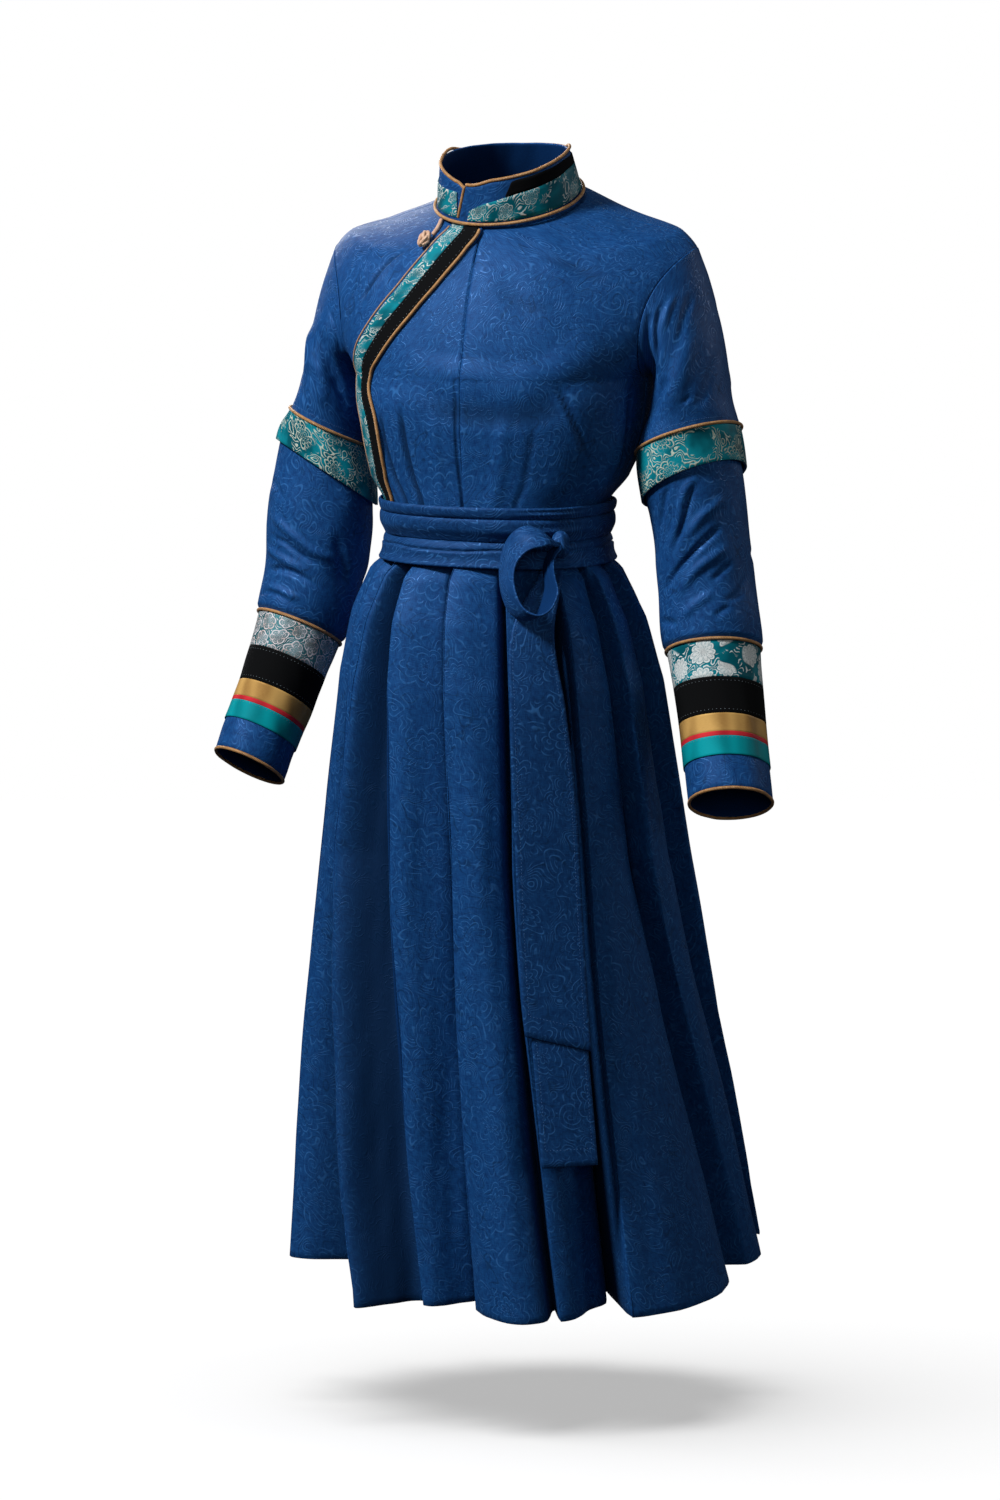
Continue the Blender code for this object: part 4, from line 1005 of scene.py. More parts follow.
class Weave:
    """A material's node tree while it is being built."""

    def __init__(self, name: str) -> None:
        """Starts a material with one Principled shader.

        Args:
            name: The material's name.
        """
        self.material = bpy.data.materials.new(name)
        self.material.use_nodes = True
        self.tree = self.material.node_tree
        self.shader = self.tree.nodes["Principled BSDF"]

    def put(self, socket: Any, value: Any) -> None:
        """Links an input to another socket, or sets it to a value or to a colour of the form #rrggbb."""
        if isinstance(value, bpy.types.NodeSocket):
            self.tree.links.new(value, socket)
        else:
            socket.default_value = linear(value) if isinstance(value, str) else value

    def add(
        self, kind: str, inputs: Sequence[Any] | dict[Any, Any] = (), out: Any = 0, **settings: Any
    ) -> Any:
        """Adds a node with its settings and links.

        Args:
            kind: The node's type, without its "ShaderNode", or a Math node's operation, in capitals.
            inputs: Values, colours or sockets, in order or by name or number.
            out: Name or number of the output that is wanted.
            settings: Properties of the node.

        Returns:
            The output socket.
        """
        if kind.isupper():
            settings["operation"], kind = kind, "Math"
        node = self.tree.nodes.new("ShaderNode" + kind)
        for key, value in settings.items():
            setattr(node, key, value)
        pairs = inputs.items() if isinstance(inputs, dict) else enumerate(inputs)
        for key, value in pairs:
            self.put(node.inputs[key], value)
        return node.outputs[out]

    def surface(self, **values: Any) -> None:
        """Sets or links inputs of the shader; their names are written with _ for spaces."""
        for key, value in values.items():
            self.put(self.shader.inputs[key.replace("_", " ")], value)

    def millimetres(self) -> Any:
        """The piece's own UV map, in millimetres."""
        uv = self.add("UVMap", out="UV", uv_map=UV_NAME)
        return self.add("VectorMath", [uv, (1 / MM, 1 / MM, 0)], operation="MULTIPLY")

    def shaken(self, vector: Any, size: float, reach: float) -> Any:
        """Moves a map by noise.

        Args:
            vector: The map.
            size: Of the noise's grains, in millimetres.
            reach: How far it moves, in millimetres.

        Returns:
            The moved map's socket.
        """
        shake = self.add("TexNoise", {"Vector": vector, "Scale": 1 / size, "Detail": 1.0}, out=1)
        shake = self.add("VectorMath", [shake, (0.5, 0.5, 0)], operation="SUBTRACT")
        return self.add("VectorMath", [shake, (reach, reach, 0), vector], operation="MULTIPLY_ADD")


@dataclass(frozen=True)
class Lattice:
    """A half-drop repeat of round motifs: its pitch round and along the cloth, in millimetres."""

    across: float
    along: float
    start: tuple[float, float] = (0.0, 0.0)

    def polar(self, weave: Weave, vector: Any) -> tuple[Any, Any]:
        """Finds the nearest motif's middle.

        Args:
            weave: The material.
            vector: A map in millimetres.

        Returns:
            Distance from it in millimetres, and angle round it.
        """
        moved = weave.add("VectorMath", [vector, (*self.start, 0)], operation="ADD")
        x = weave.add("SeparateXYZ", [moved], out="X")
        y = weave.add("SeparateXYZ", [moved], out="Y")
        column = weave.add("DIVIDE", [x, self.across])
        half = weave.add("MULTIPLY", [weave.add("FLOOR", [column]), 0.5])
        drop = weave.add("FRACT", [half])
        row = weave.add("DIVIDE", [y, self.along])
        row = weave.add("ADD", [row, drop])
        cell = weave.add("CombineXYZ", [column, row])
        local = weave.add("VectorMath", [cell], operation="FRACTION")
        local = weave.add("VectorMath", [local, (0.5, 0.5, 0)], operation="SUBTRACT")
        local = weave.add("VectorMath", [local, (self.across, self.along, 0)], operation="MULTIPLY")
        radius = weave.add("VectorMath", [local], out="Value", operation="LENGTH")
        x = weave.add("SeparateXYZ", [local], out="X")
        y = weave.add("SeparateXYZ", [local], out="Y")
        return radius, weave.add("ARCTAN2", [y, x])


def petals(weave: Weave, polar: tuple[Any, Any], count: float, spacing: float, cut: float) -> Any:
    """Thin scalloped rings round a motif's middle, as the petals of a chrysanthemum.

    Args:
        weave: The material.
        polar: Distance and angle from the motif's middle.
        count: Petals in a ring.
        spacing: Between the rings, in millimetres.
        cut: How deep the scallops are, as a share of the spacing.

    Returns:
        A socket that is 1 on the lines.
    """
    radius, angle = polar
    turned = weave.add("MULTIPLY", [angle, count / 2])
    scallop = weave.add("ABSOLUTE", [weave.add("SINE", [turned])])
    rings = weave.add("MULTIPLY", [radius, 1 / spacing])
    rings = weave.add("MULTIPLY_ADD", [scallop, -cut, rings])
    return line_at(weave, rings, 0.16)


def spirals(weave: Weave, polar: tuple[Any, Any], spacing: float) -> Any:
    """A thin spiral round a motif's middle, as a scroll or a cloud.

    Args:
        weave: The material.
        polar: Distance and angle from the motif's middle.
        spacing: Between its turns, in millimetres.

    Returns:
        A socket that is 1 on the line.
    """
    radius, angle = polar
    turn = weave.add("MULTIPLY", [angle, 1 / (2 * math.pi)])
    rings = weave.add("MULTIPLY_ADD", [radius, 1 / spacing, turn])
    return line_at(weave, rings, 0.18)


def line_at(weave: Weave, value: Any, width: float) -> Any:
    """Draws lines where a value is whole.

    Args:
        weave: The material.
        value: The socket of the value.
        width: Of a line, as a share of their spacing.

    Returns:
        A socket that is 1 on the lines.
    """
    whole = weave.add("FRACT", [value])
    off = weave.add("SUBTRACT", [whole, 0.5])
    off = weave.add("ABSOLUTE", [off])
    return weave.add("MapRange", [off, 0.5 - width, 0.5 - width / 4], **SOFT)


def noise(weave: Weave, vector: Any, size: float, detail: float = 2.0, offset: float = 0.0) -> Any:
    """Smooth noise of about 0 to 1 whose grains are size millimetres across."""
    moved = weave.add("VectorMath", [vector, (offset, offset, offset)], operation="ADD")
    return weave.add("TexNoise", {"Vector": moved, "Scale": 1 / size, "Detail": detail}, out=0)


def threads(weave: Weave, vector: Any, across: float, along: float, detail: float = 1.0) -> Any:
    """Slubby threads: noise that is long one way; real threads of 0.15 mm are drawn 3 to 5 times as coarse,
    because single ones would not show at this distance."""
    stretched = weave.add("VectorMath", [vector, (1 / across, 1 / along, 0)], operation="MULTIPLY")
    return weave.add("TexNoise", {"Vector": stretched, "Scale": 1.0, "Detail": detail}, out=0)


@dataclass(frozen=True)
class Jacquard:
    """Silk and viscose jacquard, woven tone on tone: a dull satin ground on which chrysanthemums, scrolls
    and hatched fans turn a little lighter and smoother than the ground, and whose folds have shade painted
    into their colour."""

    name: str = "silk_jacquard"
    slot: str = "blue_jacquard"
    ground: str = "#184c86"
    deep: str = "#0c3165"
    # the colour of the dark veins, and of the shade painted into the folds
    vein_and_fold_shade: str = "#07203f"
    figure: str = "#4280c4"
    gloss: str = "#6ea2ee"
    strength: float = 0.38
    rosettes: Lattice = Lattice(78.0, 92.0)
    scrolls: Lattice = Lattice(52.0, 61.0, (19.0, 33.0))
    roughness: float = 0.56
    worn_roughness: float = 0.32  # on the figures

    def material(self) -> bpy.types.Material:
        """Builds the material.

        Returns:
            The material.
        """
        weave = Weave(self.name)
        flat = weave.millimetres()
        vector = weave.shaken(weave.shaken(flat, 90.0, 60.0), 24.0, 12.0)
        rosette, scroll = self.rosettes.polar(weave, vector), self.scrolls.polar(weave, vector)
        flower = petals(weave, rosette, 9, 6.4, 0.75)
        flower_disc = weave.add("MapRange", [rosette[0], 27.0, 25.0], **SOFT)
        cloud = spirals(weave, scroll, 4.6)
        cloud_disc = weave.add("MapRange", [scroll[0], 15.0, 12.5], **SOFT)
        swell = noise(weave, flat, 30.0, 1.0, 70.0)
        fans = line_at(weave, weave.add("MULTIPLY", [swell, 19.0]), 0.2)
        figure = weave.add("MULTIPLY", [flower, flower_disc])
        outside = weave.add("SUBTRACT", [1.0, flower_disc])
        cloud = weave.add("MULTIPLY", [cloud, cloud_disc])
        rest = weave.add("SUBTRACT", [1.0, cloud_disc])
        fans = weave.add("MULTIPLY", [fans, rest])
        grown = weave.add("MapRange", [noise(weave, flat, 24.0), 0.38, 0.52], **SOFT)
        fans = weave.add("MULTIPLY", [fans, grown])
        ground = weave.add("MAXIMUM", [cloud, fans])
        ground = weave.add("MULTIPLY", [ground, outside])
        figure = weave.add("MAXIMUM", [figure, ground])
        worn = weave.add("MapRange", [noise(weave, flat, 11.0, 3.0, 20.0), 0.34, 0.6], **SOFT)
        figure = weave.add("MULTIPLY", [figure, worn])
        thread = threads(weave, flat, 0.9, 6.0)
        weft = threads(weave, flat, 7.0, 1.0)
        cloudy = threads(weave, flat, 5.0, 8.0, 5.0)
        slub = weave.add("ADD", [thread, weft])
        slub = weave.add("MULTIPLY_ADD", [cloudy, 1.4, slub])
        slub = weave.add("MapRange", [slub, 1.1, 2.25], **SOFT)
        base = weave.add("Mix", {0: slub, 6: self.deep, 7: self.ground}, 2, **COLOURS)
        share = weave.add("MULTIPLY", [figure, self.strength])
        swell = noise(weave, flat, 46.0, 1.0, 7.0)
        veins = line_at(weave, weave.add("MULTIPLY", [swell, 15.0]), 0.11)
        grown = weave.add("MapRange", [noise(weave, flat, 27.0, 1.0, 90.0), 0.42, 0.6, 0.0, 0.5], **SOFT)
        veins = weave.add("MULTIPLY", [veins, grown])
        base = weave.add("Mix", {0: veins, 6: base, 7: self.vein_and_fold_shade}, 2, **COLOURS)
        base = weave.add("Mix", {0: share, 6: base, 7: self.figure}, 2, **COLOURS)
        # shade painted into the folds darkens the colour towards the dark vein colour
        folded = weave.add("Attribute", out="Fac", attribute_name=PAINTED_SHADE_ATTRIBUTE)
        weave.surface(
            Base_Color=weave.add("Mix", {0: folded, 6: base, 7: self.vein_and_fold_shade}, 2, **COLOURS),
            Roughness=weave.add("MapRange", [figure, 0.0, 1.0, self.roughness, self.worn_roughness], **SOFT),
            Specular_IOR_Level=0.5,
            Specular_Tint=self.gloss,
            Sheen_Weight=0.05,
            Sheen_Roughness=0.45,
            Sheen_Tint=self.gloss,
        )
        height = weave.add("MULTIPLY_ADD", [thread, 0.5, share])
        weave.surface(Normal=weave.add("Bump", {"Height": height, "Distance": 0.35 * MM}))
        return weave.material


@dataclass(frozen=True)
class Brocade:
    """Metal-thread brocade: a turquoise satin ground with raised silver flowers and scrollwork, glossier
    than the ground and broken up by their stitches."""

    name: str
    slot: str = "teal_brocade"
    ground: str = "#0f7f8e"
    deep: str = "#07525f"
    silver: str = "#c3cfcb"
    blush: str = "#c4a8a0"
    flowers: Lattice = Lattice(33.0, 30.0)
    petals: int = 11
    radius: float = 12.5
    ring: float = 3.6
    filled: float = 1.0  # 1 for whole petals, 0 for outlines only
    scrollwork: float = 0.5  # share of the ground that scrolls cover
    patches: tuple[float, float, float] = (50.0, 0.0, 0.2)  # size, and range of noise where flowers grow
    blushing: float = 0.3
    shake: float = 14.0  # how far the flowers are moved off their lattice, in millimetres

    def material(self) -> bpy.types.Material:
        """Builds the material.

        Returns:
            The material.
        """
        weave = Weave(self.name)
        flat = weave.millimetres()
        radius, angle = self.flowers.polar(weave, weave.shaken(flat, 40.0, self.shake))
        turned = weave.add("MULTIPLY", [angle, self.petals / 2])
        lobes = weave.add("ABSOLUTE", [weave.add("SINE", [turned])])
        edge = weave.add("MULTIPLY_ADD", [lobes, 0.16 * self.radius, 0.84 * self.radius])
        inside = weave.add("SUBTRACT", [edge, radius])
        whole = weave.add("MapRange", [inside, -0.2, 0.3], **SOFT)
        veins = petals(weave, (radius, angle), self.petals, self.ring, 0.8)
        spokes = line_at(weave, weave.add("MULTIPLY", [angle, self.petals / (2 * math.pi)]), 0.12)
        apart = weave.add("MapRange", [radius, 0.3 * self.radius, 0.5 * self.radius], **SOFT)
        spokes = weave.add("MULTIPLY", [spokes, apart])
        drawn = weave.add("MAXIMUM", [veins, spokes])
        rim = weave.add("MapRange", [inside, 1.5, 0.6], **SOFT)
        outlined = weave.add("MAXIMUM", [drawn, rim])
        outlined = weave.add("MULTIPLY", [outlined, whole])
        veined = weave.add("MULTIPLY_ADD", [drawn, -0.55, 1.0])
        solid = weave.add("MULTIPLY", [whole, veined])
        flower = weave.add("Mix", {0: self.filled, 2: outlined, 3: solid}, out=0, data_type="FLOAT")
        size, low, high = self.patches
        grown = weave.add("MapRange", [noise(weave, flat, size, 0.0, 11.0), low, high], **SOFT)
        flower = weave.add("MULTIPLY", [flower, grown])
        swell = noise(weave, flat, 15.0, 1.0, 50.0)
        scrolls = line_at(weave, weave.add("MULTIPLY", [swell, 11.0]), 0.24)
        bound = 0.62 - 0.3 * self.scrollwork
        covered = weave.add("MapRange", [noise(weave, flat, 22.0, 1.0, 5.0), bound, bound + 0.06], **SOFT)
        scrolls = weave.add("MULTIPLY", [scrolls, covered])
        bare = weave.add("MapRange", [inside, -0.6, -1.6], **SOFT)
        scrolls = weave.add("MULTIPLY", [scrolls, bare])
        figure = weave.add("MAXIMUM", [flower, scrolls])
        thread = threads(weave, flat, 0.6, 1.8)
        worn = weave.add("MapRange", [thread, 0.2, 0.5, 0.55, 1.0], **SOFT)
        figure = weave.add("MULTIPLY", [figure, worn])
        tone = weave.add("MapRange", [noise(weave, flat, 26.0, 2.0, 9.0), 0.35, 0.65], **SOFT)
        ground = weave.add("Mix", {0: tone, 6: self.deep, 7: self.ground}, 2, **COLOURS)
        warm = weave.add("MapRange", [noise(weave, flat, 9.0, 1.0, 33.0), 0.4, 0.7], **SOFT)
        warm = weave.add("MULTIPLY", [warm, self.blushing])
        height = weave.add("MULTIPLY_ADD", [thread, 0.3, figure])
        silver = weave.add("Mix", {0: warm, 6: self.silver, 7: self.blush}, 2, **COLOURS)
        weave.surface(
            Base_Color=weave.add("Mix", {0: figure, 6: ground, 7: silver}, 2, **COLOURS),
            Roughness=weave.add("MapRange", [figure, 0.0, 1.0, 0.46, 0.36], **SOFT),
            Specular_IOR_Level=0.5,
            Specular_Tint=weave.add("Mix", {0: figure, 6: self.ground, 7: self.silver}, 2, **COLOURS),
            Normal=weave.add("Bump", {"Height": height, "Distance": 0.3 * MM}),
        )
        return weave.material


@dataclass(frozen=True)
class Satin:
    """Satin ribbon: long floats along it, so a soft shine that changes slowly round the cuff, with a streaky
    sheen painted into its colour.
    """

    name: str
    slot: str
    colour: str
    shade: str
    roughness: float = 0.34
    sheen: float = 0.1

    def material(self) -> bpy.types.Material:
        """Builds the material.

        Returns:
            The material.
        """
        weave = Weave(self.name)
        flat = weave.millimetres()
        painted_sheen = threads(weave, flat, 26.0, 60.0)
        fine = threads(weave, flat, 4.0, 0.5)
        # painted sheen: along slow streaks the colour runs from shade to colour, with fine threads on top
        mix = weave.add("MapRange", [painted_sheen, 0.35, 0.65, 0.0, 0.75], **SOFT)
        mix = weave.add("MULTIPLY_ADD", [fine, 0.3, mix])
        weave.surface(
            Base_Color=weave.add("Mix", {0: mix, 6: self.shade, 7: self.colour}, 2, **COLOURS),
            Roughness=weave.add("MapRange", [fine, 0.2, 0.8, self.roughness, self.roughness + 0.12], **SOFT),
            Specular_IOR_Level=0.5,
            Specular_Tint=self.colour,
            Sheen_Weight=self.sheen,
            Sheen_Tint=self.colour,
            Normal=weave.add("Bump", {"Height": fine, "Distance": 0.05 * MM}),
        )
        return weave.material


@dataclass(frozen=True)
class Velvet:
    """Cotton velvet ribbon: nearly black, with no highlight and a faint grey bloom at grazing angles."""

    name: str = "velvet_ribbon"
    slot: str = "black_velvet"
    colour: str = "#050607"
    bloom: str = "#0a0b0d"

    def material(self) -> bpy.types.Material:
        """Builds the material.

        Returns:
            The material.
        """
        weave = Weave(self.name)
        flat = weave.millimetres()
        nap = noise(weave, flat, 0.9, 2.0)
        weave.surface(
            Base_Color=weave.add("Mix", {0: nap, 6: self.colour, 7: self.bloom}, 2, **COLOURS),
            Roughness=0.92,
            Specular_IOR_Level=0.1,
            Sheen_Weight=0.05,
            Sheen_Roughness=0.5,
            Sheen_Tint="#50565e",
            Normal=weave.add("Bump", {"Height": nap, "Distance": 0.25 * MM}),
        )
        return weave.material


@dataclass(frozen=True)
class Cording:
    """Piping cord: satin strip wound aslant round a cord, so it shows fine slanting ribs, with shade
    painted into the colour of the gaps between them.
    """

    name: str
    slot: str
    colour: str
    shade: str
    pitch: float = 1.6  # between the ribs, in millimetres
    roughness: float = 0.45
    depth: float = 0.25

    def material(self) -> bpy.types.Material:
        """Builds the material.

        Returns:
            The material.
        """
        weave = Weave(self.name)
        flat = weave.millimetres()
        x = weave.add("SeparateXYZ", [flat], out="X")
        y = weave.add("SeparateXYZ", [flat], out="Y")
        slanted = weave.add("MULTIPLY_ADD", [y, 0.8, x])
        ribs = weave.add("MULTIPLY", [slanted, 2 * math.pi / self.pitch])
        ribs = weave.add("MULTIPLY_ADD", [weave.add("SINE", [ribs]), 0.5, 0.5])
        tone = weave.add("MapRange", [noise(weave, flat, 7.0, 2.0), 0.3, 0.7, 0.45, 1.0], **SOFT)
        # shade painted into the gaps between the ribs
        tone = weave.add("MULTIPLY", [tone, weave.add("MapRange", [ribs, 0.0, 0.7, 0.45, 1.0], **SOFT)])
        weave.surface(
            Base_Color=weave.add("Mix", {0: tone, 6: self.shade, 7: self.colour}, 2, **COLOURS),
            Roughness=self.roughness,
            Specular_IOR_Level=0.5,
            Sheen_Weight=0.1,
            Normal=weave.add("Bump", {"Height": ribs, "Distance": self.depth * MM}),
        )
        return weave.material


@dataclass(frozen=True)
class Plain:
    """Plain twill: the robe's dark reverse, or a sewing thread."""

    name: str
    slot: str
    colour: str
    shade: str
    roughness: float = 0.7

    def material(self) -> bpy.types.Material:
        """Builds the material.

        Returns:
            The material.
        """
        weave = Weave(self.name)
        flat = weave.millimetres()
        twill = threads(weave, flat, 0.9, 2.0)
        weave.surface(
            Base_Color=weave.add("Mix", {0: twill, 6: self.shade, 7: self.colour}, 2, **COLOURS),
            Roughness=self.roughness,
            Specular_IOR_Level=0.2,
            Specular_Tint=self.colour,
            Normal=weave.add("Bump", {"Height": twill, "Distance": 0.15 * MM}),
        )
        return weave.material


class Stuff(Enum):
    """The robe's finishes."""

    CLOTH = Jacquard()
    SASH = Jacquard(
        name="sash_silk", slot="sash_jacquard", ground="#164378", deep="#0a2a58", strength=0.42,
        rosettes=Lattice(64.0, 70.0),
    )
    REVERSE = Plain("cloth_reverse", "blue_jacquard", "#123a70", "#0a2448")
    SASH_REVERSE = Plain("sash_reverse", "sash_jacquard", "#10376a", "#092447")
    BACKING = Plain("ribbon_backing", "teal_brocade", "#20343a", "#14252a")
    CLOSURE = Brocade(
        "closure_silver", flowers=Lattice(21.0, 24.0), petals=7, radius=9.0, ring=2.4, filled=0.05,
        scrollwork=0.85, patches=(28.0, 0.46, 0.58),
    )
    COLLAR = Brocade(
        "collar_silver", flowers=Lattice(30.0, 21.0, (4.0, 6.0)), petals=7, radius=9.5, ring=2.3, filled=0.1,
        scrollwork=0.75, patches=(24.0, 0.42, 0.54),
    )
    BAND = Brocade(
        "band_silver", ground="#128c9c", silver="#c9d6c6", flowers=Lattice(38.0, 36.0), petals=9,
        radius=15.0, filled=0.0, scrollwork=0.85, patches=(34.0, 0.45, 0.53),
    )
    CUFF_LEFT = Brocade(
        "cuff_silver_left", silver="#e4e9e8", flowers=Lattice(27.0, 29.0, (6.0, 4.0)), radius=13.0, ring=6.0,
        scrollwork=0.8, patches=(26.0, 0.38, 0.42), blushing=0.1, filled=0.9,
    )
    CUFF_RIGHT = Brocade(
        "cuff_silver_right", ground="#4f8890", deep="#2c5a62", silver="#f0e8ed", flowers=Lattice(19.0, 20.0),
        petals=6, radius=9.5, ring=2.2, filled=0.15, scrollwork=1.1, blushing=0.8, shake=22.0,
    )
    BLACK = Velvet()
    GOLD = Satin("gold_satin_ribbon", "gold_satin", "#d3a862", "#8c6636", 0.36, 0.05)
    RED = Satin("red_satin_ribbon", "red_satin", "#d8343c", "#9c1f2c", 0.4)
    TEAL = Satin("teal_satin_ribbon", "teal_satin", "#0a9aa4", "#067079", 0.4, 0.0)
    PIPING = Cording("gold_cording", "gold_piping", "#c9965c", "#7d5228")
    FINE_PIPING = Cording("rose_cording", "pink_piping", "#c9a07c", "#80583c", 1.2)
    BRAID = Cording("rose_braid", "pink_piping", "#efcdb0", "#bd8767", 1.5, 0.6, 0.4)
    THREAD = Plain("sewing_thread", "blue_jacquard", "#5f87bd", "#41699f")
    PALE_THREAD = Plain("pale_thread", "black_velvet", "#8f9aa0", "#5f6a72")

    def material(self) -> bpy.types.Material:
        """The finish's material, made once."""
        found = bpy.data.materials.get(self.value.name)
        return found or self.value.material()


# ---- Sewing ----
def dress(made: bpy.types.Object, stuff: Stuff, *more: Stuff, node: bool = True) -> bpy.types.Object:
    """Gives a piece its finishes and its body.

    Args:
        made: The piece.
        stuff: Its finish, and its slot's.
        more: Finishes of its further materials.
        node: Whether it stands for the solid of the same name.

    Returns:
        The piece.
    """
    for finish in (stuff, *more):
        made.data.materials.append(finish.material())
    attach(made, ROOT)
    if node:
        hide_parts(made.name.removeprefix(FINE))
    LOG.info("%s: %d faces", made.name, len(made.data.polygons))
    return made


@dataclass(frozen=True)
class Make:
    """How a piece of cloth is made up: its finishes, its thickness and how it is held."""

    stuff: Stuff
    reverse: Stuff
    thickness: float
    held: str

    def sew(self, name: str, grid: Grid, rests_on: Sequence[str] = (), trims: Sequence[Any] = ()) -> None:
        """Args:
            name: Its name, which is its solid's too.
            grid: Its outer face.
            rests_on: Names of the pieces that it lies on or hangs from; not used.
            trims: Pieces that are sewn onto it; not used.
        """
        made = dress(shell(name, grid, self.thickness), self.stuff, self.reverse)
        width, length, area = grid.flat()
        flat = max(width, 0.0101), max(length, 0.0101)
        LOG.info("%s: flat %.3f x %.3f m, %.4f m2", name, width, length, area)


ROBE_CLOTH = Make(Stuff.CLOTH, Stuff.REVERSE, CLOTH, "hung")


def ribbon(stuff: Stuff) -> Make:
    """A ribbon that is sewn flat onto the cloth."""
    return Make(stuff, Stuff.BACKING, RIBBON, "laid")


def drawn_in(points: Array, normals: Array, sides: tuple[bool, bool], depth: float, reach: float) -> Array:
    """Draws a grid's side columns in by half a seam and rolls them inwards, which leaves a fine groove.

    Args:
        points: Rows x columns.
        normals: Outward unit normals.
        sides: Whether the first and the last column are seams.
        depth: How deep the edges roll in.
        reach: How far from the edge they start to.

    Returns:
        The new points.
    """
    moved = points.copy()
    along = lengths_along(points, 1)
    for wanted, distance, edge, near in (
        (sides[0], along, 0, 1),
        (sides[1], along[:, -1:] - along, -1, -2),
    ):
        if wanted:
            moved -= normals * (depth * bump(distance / reach))[..., None]
            moved[:, edge] += unit(points[:, near] - points[:, edge]) * SEAM / 2
    return moved


class Stitch(NamedTuple):
    """A stitch's length, width and height, and how far it is from one to the next, in millimetres."""

    length: float
    width: float
    height: float
    pitch: float


CLOSURE_STITCH = Stitch(1.1, 0.45, 0.3, 5.2)
SLEEVE_STITCH = Stitch(1.5, 0.5, 0.35, 2.6)
CUFF_STITCH = Stitch(1.2, 0.5, 0.3, 4.2)
SASH_STITCH = Stitch(1.5, 0.5, 0.35, 3.4)


class Stitcher:
    """Copies one modelled stitch along lines."""

    def __init__(self, stitch: Stitch) -> None:
        """Models the stitch: a small flattened bead of thread.

        Args:
            stitch: Its sizes.
        """
        length, width, height, self.pitch = (size * MM for size in stitch)
        bpy.ops.object.select_all(action="DESELECT")
        bpy.ops.mesh.primitive_uv_sphere_add(segments=8, ring_count=5, radius=0.5)
        bead = bpy.context.object
        self.points = np.array([vertex.co for vertex in bead.data.vertices]) * (length, width, height)
        self.faces = [tuple(face.vertices) for face in bead.data.polygons]
        bpy.data.objects.remove(bead, do_unlink=True)

    def line(self, path: Array, outward: Array) -> list[Array]:
        """Copies of the stitch, end to end along a path.

        Args:
            path: Points, n x 3.
            outward: Unit vectors away from the cloth, n x 3.

        Returns:
            The points of each copy.
        """
        length = lengths_along(path)
        count = max(int(length[-1] / self.pitch), 1)
        spots = (np.arange(count) + 0.5) * length[-1] / count
        centre, ahead, out = (
            np.stack([np.interp(at, length, values[:, k]) for k in range(3)], -1)
            for at, values in ((spots, path), (spots + self.pitch / 4, path), (spots, outward))
        )
        out, along = unit(out), unit(ahead - centre + 1e-9)
        side = unit(np.cross(out, along))
        frames = np.stack([along, side, out], 1)
        return list(self.points @ frames + centre[:, None])

    def sewn(self, name: str, copies: Sequence[Array], stuff: Stuff) -> bpy.types.Object:
        """Joins copies of the stitch.

        Args:
            name: The piece's name.
            copies: The points of each copy.
            stuff: The thread's finish.

        Returns:
            One piece of thread.
        """
        count = len(self.points)
        faces = [[v + k * count for v in face] for k in range(len(copies)) for face in self.faces]
        mesh = bpy.data.meshes.new(name)
        mesh.from_pydata(np.concatenate(copies).tolist(), [], faces)
        mesh.uv_layers.new(name=UV_NAME)
        return dress(link(mesh), stuff, node=False)


# ---- Bodice ----
class ClosurePoint(NamedTuple):
    """A place on the bodice, on the wearer's right."""

    level: float
    degrees: float


class TrimPoint(NamedTuple):
    """Angle and level of a trim, beside the closure's edge at a level of its own."""

    beside: float
    angle: float
    level: float


